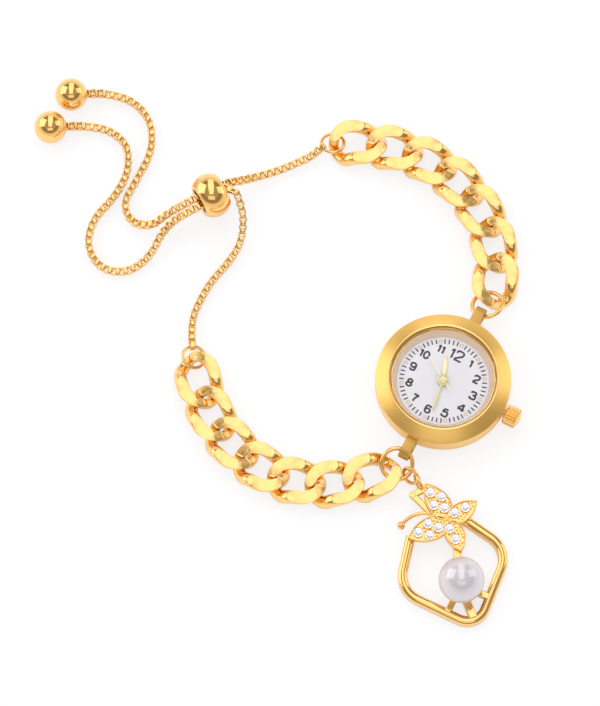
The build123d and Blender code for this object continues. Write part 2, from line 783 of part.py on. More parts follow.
def ring_plane(through, ring_heading, pitch, roll, radius):
    """The plane of a jump ring that hangs from a lug's hole, tilted down and rolled a little."""
    outward = heading(ring_heading, cos(radians(pitch)), -sin(radians(pitch)))
    level_left = heading(ring_heading + 90)
    upright = outward.cross(level_left)
    rolled = upright * cos(radians(roll)) + level_left * sin(radians(roll))
    return Plane(origin=through + outward * radius, x_dir=outward, z_dir=rolled)


def round_ring(plane, radius, wire, label):
    """A closed round ring of wire in a plane."""
    with BuildPart() as ring:
        with BuildSketch(Plane(origin=plane.origin + plane.x_dir * radius, x_dir=plane.x_dir,
                               z_dir=plane.y_dir)):
            Circle(wire / 2)
        revolve(axis=Axis(plane.origin, plane.z_dir))
    save(ring, label)


def curb_run(name, ring, catch, headings):
    """Seven links from the jump ring on. Returns the last link's centre and each hinge point."""
    grip = ring.origin + heading(catch, jump_radius)
    centre = Vector(grip.X, grip.Y, link_height) + heading(headings[0],
                                                           link_half_length - jump_ring_overlap)
    hinges = [Vector(grip.X, grip.Y, link_height)]
    for number, angle in enumerate(headings, 1):
        if number > 1:
            hinge = centre + heading(headings[number - 2], link_pitch / 2)
            hinges.append(hinge)
            centre = hinge + heading(angle, link_pitch / 2)
        with BuildPart(Plane(origin=centre, x_dir=heading(angle))) as placed:
            add(curb_link.part)
        save(placed, f"curb_link_{name}_{number}")
    return centre, hinges


def end_ring(name, last_centre, last_heading, ring_heading, catch):
    """The small ring between the last curb link and the box chain. Returns its two hinge points."""
    bar = last_centre + heading(last_heading, link_half_length)
    outward = heading(ring_heading)
    level_left = heading(ring_heading + 90)
    centre = bar + outward * (end_radius - end_ring_overlap)
    rolled = Vector(0, 0, 1) * cos(radians(end_ring_roll_angle)) - level_left * sin(
        radians(end_ring_roll_angle))
    plane = Plane(origin=centre, x_dir=outward, z_dir=rolled)
    round_ring(plane, end_radius, end_wire, f"end_ring_{name}")
    return bar, ring_far_point(plane, catch, end_radius)


def ring_far_point(plane, catch, radius):
    """The point of a ring's wire that lies in a heading from its centre."""
    way = plane.to_local_coords(plane.origin + heading(catch))
    return plane.from_local_coords(Vector(way.X, way.Y, 0).normalized() * radius)


upper_hole = Vector(0, lug_hole_reach, lug_height)
lower_hole = Vector(0, -lug_hole_reach, lug_height)
upper_ring = ring_plane(upper_hole, upper_ring_heading, upper_ring_pitch_angle,
                        upper_ring_roll_angle, jump_radius)
lower_ring = ring_plane(lower_hole, lower_ring_heading, lower_ring_pitch_angle,
                        lower_ring_roll_angle, jump_radius)
round_ring(upper_ring, jump_radius, jump_wire, "jump_ring_upper")
round_ring(lower_ring, jump_radius, jump_wire, "jump_ring_lower")
upper_last, upper_hinges = curb_run("upper", upper_ring, upper_ring_catch, upper_link_headings)
lower_last, lower_hinges = curb_run("lower", lower_ring, lower_ring_catch, lower_link_headings)
upper_bar, upper_far = end_ring("upper", upper_last, upper_link_headings[-1],
                                upper_end_ring_heading, upper_end_ring_catch)
lower_bar, lower_far = end_ring("lower", lower_last, lower_link_headings[-1],
                                lower_end_ring_heading, lower_end_ring_catch)

# BOX CHAIN


def box_ring(length):
    """One link of the box chain: a square ring of flat strip, lying flat at the origin."""
    with BuildPart() as ring:
        with BuildSketch(Plane.XY.offset(-box_band / 2)) as face:
            Rectangle(length, box_width)
            Rectangle(length - 2 * box_wall, box_width - 2 * box_wall, mode=Mode.SUBTRACT)
        extrude(face.sketch, amount=box_band)
    return ring.part


box_link = box_ring(box_length)
box_end_link = box_ring(box_end_length)


def route_wire(points):
    """Straight runs joined by tangent arcs through a list of points."""
    radii = bend_radii(points, route_bend_share)
    print("route radii", [round(r, 1) for r in radii])
    with BuildLine() as route:
        FilletPolyline(*points, radius=radii)
    return route.wires()[0]


def box_place(wire, reach, flat):
    """Where a box link lies on a route, flat or upright, at a length from its start."""
    share = reach / wire.length
    ahead = wire % share
    level_left = Vector(0, 0, 1).cross(ahead).normalized()
    up = ahead.cross(level_left)
    return Location(Plane(origin=wire @ share, x_dir=ahead, z_dir=up if flat else level_left))


def box_chain(label, wire, on_ring):
    """Box links along a route. On an end ring, the first one is longer, to take the ring's wire."""
    links = []
    start = 0
    if on_ring:
        start = box_end_length / 2 - box_wall - end_wire / 2 - box_end_gap
        links.append(box_end_link.moved(box_place(wire, start, False)))
        start += box_pitch + (box_end_length - box_length) / 2
    count = round((wire.length - start) / box_pitch)
    spacing = (wire.length - start) / count
    for number in range(count + 1):
        flat = number % 2 == 0
        links.append(box_link.moved(box_place(wire, start + number * spacing, flat)))
    with BuildPart() as chain:
        add(Compound(children=links))
    save(chain, label)
    print(label, "links", len(links))


def span_points(start, mouth, shares):
    """Points of a span between an end ring and the slider."""
    along = mouth - start
    along = Vector(along.X, along.Y, 0)
    beside = Vector(-along.Y, along.X, 0)
    points = [start]
    for ahead, aside, lift in shares:
        place = start + along * ahead + beside * aside
        points.append(Vector(place.X, place.Y, box_height + lift * (slider_height - box_height)))
    points.append(mouth)
    return points


slider_axis = heading(slider_heading)
slider_side = heading(slider_heading + 90)
slider_centre = Vector(slider_x, slider_y, slider_height)
upper_rail = slider_centre + slider_side * (rail_spacing / 2)
lower_rail = slider_centre - slider_side * (rail_spacing / 2)


def tail_points(rail, shares):
    """Points of a tail from the slider on. Its last run rises until the end ball rests on the table."""
    points = [rail - slider_axis * rail_run]
    for ahead, aside, lift in shares:
        points.append(Vector(slider_x + tail_reach * ahead, slider_y + tail_reach * aside,
                             box_height + lift * (slider_height - box_height)))
    level = Vector(points[-1].X - points[-2].X, points[-1].Y - points[-2].Y, 0)
    rise = (ball_diameter / 2 - box_height) / (1 + (ball_diameter - ball_bore_depth) / 2 / level.length)
    points[-1] = points[-2] + level + Vector(0, 0, rise)
    return points


def end_ball(label, wire):
    """A round ball on the end of a tail, bored for the last box link."""
    tip = wire @ 1
    ahead = wire % 1
    with BuildPart() as ball:
        with Locations(tip + ahead * (ball_diameter / 2 - ball_bore_depth / 2)):
            Sphere(ball_diameter / 2)
        with BuildSketch(Plane(origin=tip - ahead * overrun, z_dir=ahead)):
            Circle(ball_bore / 2)
        extrude(amount=overrun + ball_bore_depth / 2, mode=Mode.SUBTRACT)
    save(ball, label)


upper_mouth = upper_rail + slider_axis * rail_lead_length
upper_route = route_wire(span_points(upper_far, upper_mouth, upper_span_shares)
                         + tail_points(upper_rail, upper_tail_shares))
box_chain("box_chain_upper", upper_route, True)
end_ball("end_ball_upper", upper_route)

lower_start = lower_rail + slider_axis * rail_mouth_length
lower_tail_route = route_wire([lower_start] + tail_points(lower_rail, lower_tail_shares))
box_chain("box_chain_lower_tail", lower_tail_route, False)
end_ball("end_ball_lower", lower_tail_route)

open_end = slider_centre + slider_axis * open_end_reach - slider_side * open_end_offset
lower_span_route = route_wire(span_points(lower_far, open_end, lower_span_shares))
box_chain("box_chain_lower_span", lower_span_route, True)

with BuildPart() as slider_bead:
    with BuildSketch(Plane(origin=slider_centre, x_dir=slider_axis, z_dir=slider_side)):
        with BuildLine():
            half = slider_length / 2
            Polyline((-half, slider_end_diameter / 2), (-half, slider_bore / 2),
                     (half, slider_bore / 2), (half, slider_end_diameter / 2))
            ThreePointArc((half, slider_end_diameter / 2), (0, slider_diameter / 2),
                          (-half, slider_end_diameter / 2))
        make_face()
    revolve(axis=Axis(slider_centre, slider_axis))
save(slider_bead, "slider_bead")

with BuildPart() as slider_grip:
    with BuildSketch(Plane(origin=slider_centre - slider_axis * (grip_length / 2),
                           z_dir=slider_axis)):
        Circle(slider_bore / 2 - fit_gap)
        Circle(grip_bore / 2, mode=Mode.SUBTRACT)
    extrude(amount=grip_length)
save(slider_grip, "slider_grip")

# CHARM

catch_way = heading(charm_catch)
catch_side = heading(charm_catch + 90)
ring_point = ring_far_point(lower_ring, charm_catch, jump_radius)
charm_centre_shift = (eye_spacing + (eye_wire - jump_wire) / 2) / 2
charm_slant = catch_side * cos(radians(charm_ring_slant)) + Vector(0, 0, sin(
    radians(charm_ring_slant)))
charm_ring_centre = Vector(ring_point.X, ring_point.Y, (ring_point.Z + eye_height) / 2) + (
    catch_way * charm_centre_shift)
round_ring(Plane(origin=charm_ring_centre, x_dir=catch_way,
                 z_dir=catch_way.cross(charm_slant)), charm_radius, charm_wire, "charm_ring")
eye_point = Vector(ring_point.X, ring_point.Y, eye_height) + catch_way * eye_spacing
eye_centre = eye_point + catch_way * eye_radius
charm_plane = Plane(origin=Vector(eye_centre.X, eye_centre.Y, 0), x_dir=heading(charm_heading))

spoke_low = frame_depth - stem_bar_depth
# The spokes meet the frame's lower sides squarely and end inside their band
side_normal = Vector(frame_half_width, frame_bottom_reach - frame_side_reach).normalized()
side_distance = side_normal.X * (frame_bottom_reach - pearl_reach)
spoke_tip = side_normal * (side_distance - (frame_band + spoke_width) / 2)


def bar(start, end, width):
    """A straight bar with round ends between two points of a sketch."""
    run = Vector(*end) - Vector(*start)
    middle = (Vector(*start) + Vector(*end)) / 2
    turn = degrees(atan2(run.Y, run.X))
    with Locations(Location((middle.X, middle.Y, 0), (0, 0, turn))):
        SlotCenterToCenter(run.length, width)


def leaf(angle, length, width, inset=0):
    """A pointed leaf outline from the wing joint, drawn smaller by an inset."""
    belly = (length * wing_belly_share, width / 2)
    with BuildSketch(Plane((wing_joint_x, wing_joint_y, 0)).rotated((0, 0, angle))) as outline:
        with BuildLine():
            TangentArc(belly, (length, 0), tangent=(1, 0))
            TangentArc(belly, (0, 0), tangent=(-1, 0))
            mirror(about=Plane.XZ)
        make_face()
        if inset:
            offset(amount=-inset, kind=Kind.INTERSECTION, mode=Mode.REPLACE)
    return outline.sketch


wings = ((wing_axis - fore_wing_angle, fore_wing_length, fore_wing_width),
         (wing_axis + fore_wing_angle, fore_wing_length, fore_wing_width),
         (wing_axis - hind_wing_angle, hind_wing_length, hind_wing_width),
         (wing_axis + hind_wing_angle, hind_wing_length, hind_wing_width))
wing_floor = frame_depth + wing_thickness - wing_rim_height


def stone_places():
    """The twelve stones' places on the wings, in the charm's frame."""
    joint = Vector(wing_joint_x, wing_joint_y, 0)
    places = []
    for side in (-1, 1):
        fore = wing_axis + side * fore_wing_angle
        for along, off in fore_stone_shares:
            places.append(joint + heading(fore, along * fore_wing_length)
                          + heading(fore - side * 90, off * fore_wing_length))
        hind = wing_axis + side * hind_wing_angle
        for along, off in hind_stone_shares:
            places.append(joint + heading(hind, along * hind_wing_length)
                          + heading(hind - side * 90, off * hind_wing_length))
    return places


def placed_charm(shape, label):
    """Move a piece made in the charm's own frame to its place and save it."""
    with BuildPart(charm_plane) as placed:
        add(shape)
    save(placed, label)


with BuildPart() as frame_shape:
    with BuildSketch() as frame_face:
        with BuildLine():
            FilletPolyline((frame_top_reach, 0), (frame_side_reach, frame_half_width),
                           (frame_bottom_reach, 0), (frame_side_reach, -frame_half_width),
                           radius=[0, frame_side_radius, frame_bottom_radius, frame_side_radius],
                           close=True)
        make_face()
        offset(amount=-frame_band, kind=Kind.INTERSECTION, mode=Mode.SUBTRACT)
        with Locations((frame_cut_reach / 2, 0)):
            Rectangle(frame_cut_reach, 2 * frame_half_width, mode=Mode.SUBTRACT)
    extrude(amount=frame_depth)
    fillet(frame_shape.edges().group_by(Axis.Z)[-1], radius=frame_edge)
    with BuildSketch(Plane.XY.offset(spoke_low)):
        bar((stem_bar_start, 0), (pearl_reach, 0), stem_bar_width)
        with Locations((pearl_reach, 0)):
            Circle(hub_diameter / 2)
        bar((pearl_reach, 0), (frame_bottom_reach - 2 * frame_band, 0), stem_bar_width)
        for tip_y in (-spoke_tip.Y, spoke_tip.Y):
            bar((pearl_reach, 0), (pearl_reach + spoke_tip.X, tip_y), spoke_width)
    extrude(amount=stem_bar_depth)
placed_charm(frame_shape.part, "charm_frame")

with BuildPart() as butterfly:
    for angle, length, width in wings:
        extrude(leaf(angle, length, width).moved(Location((0, 0, frame_depth))),
                amount=wing_thickness)
    for angle, length, width in wings:
        extrude(leaf(angle, length, width, wing_rim).moved(Location((0, 0, wing_floor))),
                amount=wing_rim_height + overrun, mode=Mode.SUBTRACT)
    with BuildSketch(Plane.XY.offset(wing_floor - stone_girdle)):
        with Locations(*stone_places()):
            Circle(stone_diameter / 2 + fit_gap)
    extrude(amount=stone_girdle + overrun, mode=Mode.SUBTRACT)
    with BuildSketch(Plane.XY.offset(frame_depth - strut_width / 2)):
        fore_tip = heading(wing_axis - fore_wing_angle, fore_wing_length - strut_width)
        bar((strut_x, strut_y), (wing_joint_x + fore_tip.X, wing_joint_y + fore_tip.Y), strut_width)
        bar((strut_x, strut_y), (wing_joint_x - wing_joint_y, 0), strut_width)
    extrude(amount=strut_width)
    with BuildSketch(Plane((eye_radius, 0, eye_height), x_dir=(1, 0, 0), z_dir=(0, -1, 0))):
        Circle(eye_wire / 2)
    revolve(axis=Axis.Z)
    antenna_start = (wing_joint_x - wing_joint_y, 0, frame_depth)
    antenna_end = (antenna_x, antenna_y, frame_depth)
    with BuildLine() as antenna:
        ThreePointArc(antenna_start, (antenna_x - antenna_bow, antenna_y / 2, frame_depth),
                      antenna_end)
    with BuildSketch(Plane(origin=antenna_start, z_dir=antenna.wires()[0] % 0)):
        Circle(antenna_wire / 2)
    sweep(path=antenna.wires()[0])
    with Locations(antenna_end):
        Sphere(antenna_ball / 2)
placed_charm(butterfly.part, "charm_butterfly")

with BuildPart() as stones:
    with BuildSketch(Plane.XY.offset(wing_floor - stone_girdle)):
        with Locations(*stone_places()):
            RegularPolygon(stone_diameter / 2, stone_sides)
    extrude(amount=stone_girdle)
    for place in stone_places():
        girdle = Plane((place.X, place.Y, wing_floor))
        with BuildSketch(girdle):
            RegularPolygon(stone_diameter / 2, stone_sides)
        with BuildSketch(girdle.offset(stone_crown)):
            RegularPolygon(stone_table_share * stone_diameter / 2, stone_sides)
        loft()
placed_charm(stones.part, "charm_stones")

with BuildPart() as pearl:
    with Locations((pearl_reach, 0, frame_depth + pearl_diameter / 2 - pearl_flat)):
        Sphere(pearl_diameter / 2)
    split(bisect_by=Plane.XY.offset(frame_depth), keep=Keep.TOP)
placed_charm(pearl.part, "charm_pearl")


def report_hinge(name, point, axis):
    """Print a joint's place and axis."""
    print("hinge", name, *[round(value, 4) for value in (*point, *axis)])


up = Vector(0, 0, 1)
for side, ring_heading, headings, hole, hinges, last_bar, far, ring_way in (
        ("upper", upper_ring_heading, upper_link_headings, upper_hole, upper_hinges, upper_bar,
         upper_far, upper_end_ring_catch),
        ("lower", lower_ring_heading, lower_link_headings, lower_hole, lower_hinges, lower_bar,
         lower_far, lower_end_ring_catch)):
    turn = 1 if side == "upper" else -1
    report_hinge(f"jump_ring_{side}", hole, up.cross(heading(ring_heading)) * turn)
    for number, hinge in enumerate(hinges, 1):
        report_hinge(f"link_{side}_{number}", hinge, up.cross(heading(headings[number - 1])) * turn)
    report_hinge(f"end_ring_{side}", last_bar, up.cross(heading(headings[-1])) * turn)
    report_hinge(f"box_chain_{side}", far, up.cross(heading(ring_way)) * turn)
report_hinge("slider", slider_centre, -slider_axis)
report_hinge("charm_ring", ring_point, up.cross(catch_way))
report_hinge("charm", eye_point, up.cross(catch_way))
report_hinge("stem", (0, 0, stem_height), (1, 0, 0))
for name, place in (("third_wheel", third_place), ("intermediate_wheel", intermediate_place),
                    ("rotor", rotor_place), ("minute_wheel", minute_wheel_place)):
    report_hinge(name, place, up)
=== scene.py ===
"""Bracelet watch with a curb chain band, a sliding box chain clasp and a butterfly charm.

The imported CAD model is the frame: the origin is in the middle of the case back, +Z goes up through
the dial, +Y points to 12 o'clock and +X to the crown. Blender's units are metres; sizes in the
classes are millimetres and go through MM where a mesh is made.
"""

import json
import logging
import math
from dataclasses import dataclass, field
from enum import Enum

import bmesh
import bpy
import numpy as np
from mathutils import Matrix, Vector
from mathutils.geometry import intersect_line_line_2d

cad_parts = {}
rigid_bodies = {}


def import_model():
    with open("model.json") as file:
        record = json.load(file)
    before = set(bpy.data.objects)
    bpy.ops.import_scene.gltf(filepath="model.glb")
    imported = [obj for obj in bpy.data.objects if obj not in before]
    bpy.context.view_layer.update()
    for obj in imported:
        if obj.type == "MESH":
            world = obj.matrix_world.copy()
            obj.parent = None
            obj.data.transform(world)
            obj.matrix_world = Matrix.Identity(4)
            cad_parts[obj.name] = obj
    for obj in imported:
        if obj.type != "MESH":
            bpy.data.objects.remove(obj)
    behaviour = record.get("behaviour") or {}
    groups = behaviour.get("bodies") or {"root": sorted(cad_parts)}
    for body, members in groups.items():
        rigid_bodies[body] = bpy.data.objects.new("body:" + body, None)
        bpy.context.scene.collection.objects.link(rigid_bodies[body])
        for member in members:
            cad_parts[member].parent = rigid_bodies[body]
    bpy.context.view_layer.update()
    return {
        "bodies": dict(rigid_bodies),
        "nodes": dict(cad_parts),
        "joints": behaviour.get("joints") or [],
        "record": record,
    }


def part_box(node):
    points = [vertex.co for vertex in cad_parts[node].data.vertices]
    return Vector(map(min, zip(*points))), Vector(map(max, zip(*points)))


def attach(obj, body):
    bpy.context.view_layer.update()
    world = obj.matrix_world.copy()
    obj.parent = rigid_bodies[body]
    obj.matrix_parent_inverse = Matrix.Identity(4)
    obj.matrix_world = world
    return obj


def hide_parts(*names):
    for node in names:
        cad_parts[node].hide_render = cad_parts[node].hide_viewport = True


logging.basicConfig(level=logging.INFO, format="%(message)s")
LOG = logging.getLogger("watch")

MM = 0.001
UP = Vector((0, 0, 1))
WHITE = (1.0, 1.0, 1.0, 1.0)

Tree = bpy.types.NodeTree
Node = bpy.types.Node
Socket = bpy.types.NodeSocket
Piece = bpy.types.Object
Pair = tuple[float, float]
Outline = list[Vector]
Face = tuple[int, ...]
# A chain link: its middle, its three axes with its band's last, and its size along each
Link = tuple[Vector, list[Vector], list[float]]


# Colours, nodes and finishes


def linear(colour: str) -> tuple[float, float, float, float]:
    """Turns an sRGB hex colour into the linear colour that a shader socket takes.

    Args:
        colour: Six hex digits after a hash sign.

    Returns:
        Linear red, green and blue, and an alpha of 1.
    """
    parts = [int(colour[place:place + 2], 16) / 255 for place in (1, 3, 5)]
    red, green, blue = (part / 12.92 if part <= 0.04045 else ((part + 0.055) / 1.055) ** 2.4
                        for part in parts)
    return red, green, blue, 1.0


def add_node(tree: Tree, kind: str, inputs: dict | None = None, **settings) -> Node:
    """Adds a node, sets its attributes, and fills or links its sockets.

    Args:
        tree: The node tree.
        kind: Blender's type name of the node.
        inputs: For each socket's name or number, a value or the output socket that feeds it.
        **settings: The node's attributes.

    Returns:
        The new node.
    """
    made = tree.nodes.new(kind)
    for name, value in settings.items():
        setattr(made, name, value)
    for socket, value in (inputs or {}).items():
        if isinstance(value, Socket):
            tree.links.new(value, made.inputs[socket])
        else:
            made.inputs[socket].default_value = value
    return made


class Grain(Enum):
    """How the fine marks of a surface run."""

    EVEN = "every way"
    ROUND = "round the watch's axis"


@dataclass(frozen=True)
class Finish:
    """A surface: its material, how it was made, and what that gives the eye."""

    title: str
    colour: str
    roughness: float

    def material(self) -> bpy.types.Material:
        """Returns the finish's material, made on first use."""
        made = bpy.data.materials.get(self.title)
        if made is None:
            made = bpy.data.materials.new(self.title)
            made.use_nodes = True
            tree = made.node_tree
            tree.nodes.clear()
            add_node(tree, "ShaderNodeOutputMaterial", {"Surface": self.shade(tree).outputs[0]})
        return made

    def shade(self, tree: Tree) -> Node:
        """Builds the nodes.

        Args:
            tree: The material's node tree.

        Returns:
            The node whose first output is the surface.
        """
        raise NotImplementedError


@dataclass(frozen=True)
class Textured(Finish):
    """A surface with two close colours in soft patches and a grain of fine marks."""

    second_colour: str
    grain_pitch: float
    grain_depth: float

    def patches(self, tree: Tree, pitch: float, detail: float = 2.0) -> Socket:
        """Builds soft patches over the object's own space.

        Args:
            tree: The material's node tree.
            pitch: The size of one patch in millimetres.
            detail: How many finer layers they have.

        Returns:
            The socket that carries their value, from 0 to 1.
        """
        place = add_node(tree, "ShaderNodeTexCoord")
        cloud = add_node(tree, "ShaderNodeTexNoise", {
            "Vector": place.outputs["Object"], "Scale": 1 / (pitch * MM), "Detail": detail})
        return cloud.outputs["Fac"]

    def surface(self, tree: Tree, cloud: Socket, height: Socket, inputs: dict) -> Node:
        """Blends the two colours by the patches and raises the marks.

        Args:
            tree: The material's node tree.
            cloud: The patches.
            height: The marks.
            inputs: What the shader's other sockets take.

        Returns:
            The shader.
        """
        tint = add_node(tree, "ShaderNodeMix", {
            "Factor": cloud, "A": linear(self.colour), "B": linear(self.second_colour)},
            data_type="RGBA")
        bump = add_node(tree, "ShaderNodeBump", {
            "Height": height, "Strength": 1.0, "Distance": self.grain_depth * MM})
        return add_node(tree, "ShaderNodeBsdfPrincipled", {
            "Base Color": tint.outputs["Result"], "Normal": bump.outputs["Normal"], **inputs})


@dataclass(frozen=True)
class Metal(Textured):
    """A metal or a plating. Its default IOR is kept, and the colour carries the reflection."""

    grain: Grain = Grain.EVEN
    wander: float = 0.05
    lacquer: float = 0.0
    patch_pitch: float = 2.5

    def shade(self, tree: Tree) -> Node:
        """Builds a metal with a little colour and gloss variation and a grain."""
        cloud = self.patches(tree, self.patch_pitch)
        gloss = add_node(tree, "ShaderNodeMapRange", {
            "Value": cloud, "To Min": max(self.roughness - self.wander, 0.02),
            "To Max": self.roughness + self.wander})
        marks = self.rings(tree) if self.grain is Grain.ROUND else self.patches(
            tree, self.grain_pitch)
        return self.surface(tree, cloud, marks, self.gleam(gloss.outputs["Result"]))

    def gleam(self, gloss: Socket) -> dict:
        """Says how a metal under a thin lacquer shines.

        Args:
            gloss: The socket that carries its roughness.

        Returns:
            What the shader's sockets take.
        """
        return {"Metallic": 1.0, "Roughness": gloss, "Coat Weight": self.lacquer,
                "Coat Roughness": self.roughness}

    def rings(self, tree: Tree) -> Socket:
        """Builds the marks of turning or lapping on a spindle: rings about the watch's axis.

        Args:
            tree: The material's node tree.

        Returns:
            The socket that carries their height.
        """
        place = add_node(tree, "ShaderNodeTexCoord")
        split = add_node(tree, "ShaderNodeSeparateXYZ", {"Vector": place.outputs["Object"]})
        flat_place = add_node(tree, "ShaderNodeCombineXYZ", {
            "X": split.outputs["X"], "Y": split.outputs["Y"]})
        reach = add_node(tree, "ShaderNodeVectorMath", {0: flat_place.outputs["Vector"]},
                         operation="LENGTH")
        angle = add_node(tree, "ShaderNodeMath", {0: split.outputs["Y"], 1: split.outputs["X"]},
                         operation="ARCTAN2")
        # One turn is drawn as six slow patches against the fine rings across it
        slow = add_node(tree, "ShaderNodeMath", {0: angle.outputs[0], 1: self.grain_pitch * MM},
                        operation="MULTIPLY")
        rings = add_node(tree, "ShaderNodeCombineXYZ", {
            "X": reach.outputs["Value"], "Y": slow.outputs[0], "Z": split.outputs["Z"]})
        lines = add_node(tree, "ShaderNodeTexNoise", {
            "Vector": rings.outputs["Vector"], "Scale": 1 / (self.grain_pitch * MM), "Detail": 3.0})
        return lines.outputs["Fac"]


@dataclass(frozen=True)
class GroundGold(Metal):
    """The gold of a curb link. Its ground flats carry a fine stoned grain; the rest is polished."""

    patch_pitch: float = 1.6
    flat_roughness: float = 0.26
    # The patches' values between which the grain comes in
    worn: Pair = (0.47, 0.56)

    def shade(self, tree: Tree) -> Node:
        """Builds polished gold that turns grained where the mesh's 'ground' value is 1."""
        ground = add_node(tree, "ShaderNodeAttribute", attribute_name="ground")
        cloud = self.patches(tree, self.patch_pitch)
        worn = add_node(tree, "ShaderNodeMapRange", {
            "Value": cloud, "From Min": self.worn[0], "From Max": self.worn[1]})
        grained = add_node(tree, "ShaderNodeMath", {
            0: ground.outputs["Fac"], 1: worn.outputs["Result"]}, operation="MULTIPLY")
        gloss = add_node(tree, "ShaderNodeMapRange", {
            "Value": grained.outputs[0], "To Min": self.roughness, "To Max": self.flat_roughness})
        height = add_node(tree, "ShaderNodeMath", {
            0: self.patches(tree, self.grain_pitch, 3.0), 1: grained.outputs[0]},
            operation="MULTIPLY")
        return self.surface(tree, cloud, height.outputs[0], self.gleam(gloss.outputs["Result"]))


@dataclass(frozen=True)
class Coated(Textured):
    """A lacquer, ink, plastic, rubber or pearl: a coloured body, maybe under a clear coat."""

    ior: float = 1.5
    coat: float = 0.0
    coat_roughness: float = 0.1
    coat_ior: float = 1.5

    def shade(self, tree: Tree) -> Node:
        """Builds a coloured body with a fine texture and a coat."""
        cloud = self.patches(tree, self.grain_pitch)
        return self.surface(tree, cloud, cloud, {
            "Roughness": self.roughness, "IOR": self.ior, "Coat Weight": self.coat,
            "Coat Roughness": self.coat_roughness, "Coat IOR": self.coat_ior})


@dataclass(frozen=True)
class ClearSheet(Finish):
    """A thin clear sheet: light goes straight through, and only its gloss is seen."""

    ior: float

    def shade(self, tree: Tree) -> Node:
        """Builds a sheet that is clear face on and glossy at a slant."""
        clear = add_node(tree, "ShaderNodeBsdfTransparent", {"Color": linear(self.colour)})
        gloss = add_node(tree, "ShaderNodeBsdfAnisotropic", {
            "Color": WHITE, "Roughness": self.roughness})
        edge = add_node(tree, "ShaderNodeFresnel", {"IOR": self.ior})
        return add_node(tree, "ShaderNodeMixShader", {
            0: edge.outputs[0], 1: clear.outputs[0], 2: gloss.outputs[0]})


@dataclass(frozen=True)
class CutGlass(Finish):
    """A clear cut stone."""

    ior: float

    def shade(self, tree: Tree) -> Node:
        """Builds clear glass with sharp facets."""
        return add_node(tree, "ShaderNodeBsdfPrincipled", {
            "Base Color": linear(self.colour), "Roughness": self.roughness, "IOR": self.ior,
            "Transmission Weight": 1.0})


# Brass plated with gold and buffed: cream where it meets a lamp, deep orange where it sees itself
POLISHED_GOLD = Metal("buffed_gold_plating", "#FFD080", 0.1, "#FFCB78", 1.4, 0.002, wander=0.03,
                      lacquer=0.6)
# The same plating on thin wire, where the drawing marks of the wire still soften the gloss
WIRE_GOLD = Metal("gold_plated_wire", "#FFD084", 0.14, "#FCC978", 0.5, 0.002, wander=0.04,
                  lacquer=0.6)
# The bezel and case: the brass was lapped before plating, so lamps spread into a broad satin sheen
SATIN_GOLD = Metal("lapped_gold_plating", "#FFD47E", 0.33, "#FEC966", 0.12, 0.0005, Grain.ROUND,
                   0.03, 0.4)
# Ring under the crystal: plastic sprayed with a rose gilt lacquer, a soft warm sheen. Its colour is
# painted lighter than the lacquer to make up for the shade under the bezel: painted light
ROSE_GOLD_PAINTED_LIGHT = Coated("rose_gilt_lacquer", "#FFE6C8", 0.3, "#FCDAB6", 0.14, 0.003, coat=0.6,
                   coat_roughness=0.2)
# Lug tops, punched flat and left matt under the plating
MATT_GOLD = Metal("matt_gold_plating", "#DDB25C", 0.45, "#D0A452", 0.15, 0.003, lacquer=0.4)
# Curb links: buffed, then ground flat above and below on a fine stone
LINK_GOLD = GroundGold("ground_curb_gold", "#FFD080", 0.1, "#FFD080", 0.22, 0.012, lacquer=0.6)
# Hands: thin stamped brass with a pale flash of gold
HAND_GOLD = Metal("pale_gold_flash", "#FFF8CC", 0.4, "#FFF4BC", 0.2, 0.001, wander=0.04,
                  lacquer=0.5)
# Foil behind the stones: silvered, and bright from every side
STONE_FOIL = Metal("silvered_foil", "#F4F3FA", 0.06, "#F4F3FA", 0.3, 0.001)
# The dial: sprayed with lacquer, a cool white with little gloss
DIAL_LACQUER = Coated("white_dial_lacquer", "#F6F5F9", 0.45, "#F3F2F8", 0.6, 0.0005, coat=0.25,
                      coat_roughness=0.25)
# Pad printed inks: near black and matt, and a pale rose gold for the hour rings
DIAL_INK = Coated("black_printing_ink", "#1E1D22", 0.5, "#28262B", 0.2, 0.002)
ROSE_INK = Coated("rose_gold_ink", "#E3B48C", 0.4, "#D9C08E", 0.5, 0.002)
# Polished mineral glass, as good as unseen from above
CRYSTAL_GLASS = ClearSheet("mineral_crystal", "#FFFFFF", 0.03, 1.3)
# Pressed and polished glass stones, which sparkle at their facets
STONE_GLASS = CutGlass("cut_clear_stone", "#FDFDFF", 0.0, 1.55)
# A glass bead dipped in pearl essence: a grey body under a strong, soft highlight
PEARL_COAT = Coated("pearl_lustre_coat", "#CDC5C8", 0.4, "#C8BFC5", 1.8, 0.002, ior=1.7, coat=1.0,
                    coat_roughness=0.16, coat_ior=2.6)
# Moulded gaskets: amber under the crystal, black and dull behind and in the slider
AMBER_NYLON = Coated("amber_nylon", "#B98A3C", 0.4, "#A67930", 0.5, 0.002)
BLACK_RUBBER = Coated("black_gasket_rubber", "#1B1B1C", 0.65, "#242424", 0.15, 0.01)
# The movement: turned brass, rolled steel, wound copper, solder mask and a moulded holder
MOVEMENT_BRASS = Metal("turned_brass", "#D9B768", 0.25, "#CDA956", 0.2, 0.002)
MOVEMENT_STEEL = Metal("fine_grained_steel", "#C9CBD0", 0.28, "#B7B9BE", 0.12, 0.002)
COPPER_WIRE = Metal("enamelled_copper", "#B9683A", 0.3, "#A2552B", 0.05, 0.006)
CIRCUIT_MASK = Coated("green_solder_mask", "#1E5B3A", 0.35, "#184A30", 0.8, 0.002)
HOLDER_PLASTIC = Coated("moulded_white_plastic", "#E4E2DC", 0.45, "#DCD9D1", 0.4, 0.004)
# The back's steel is brushed round: fine rings and a broad sheen
BACK_STEEL = Metal("brushed_back_steel", "#D9D9DC", 0.3, "#CBCBCF", 0.15, 0.002, Grain.ROUND, 0.04)


# Outlines. Points are millimetres.


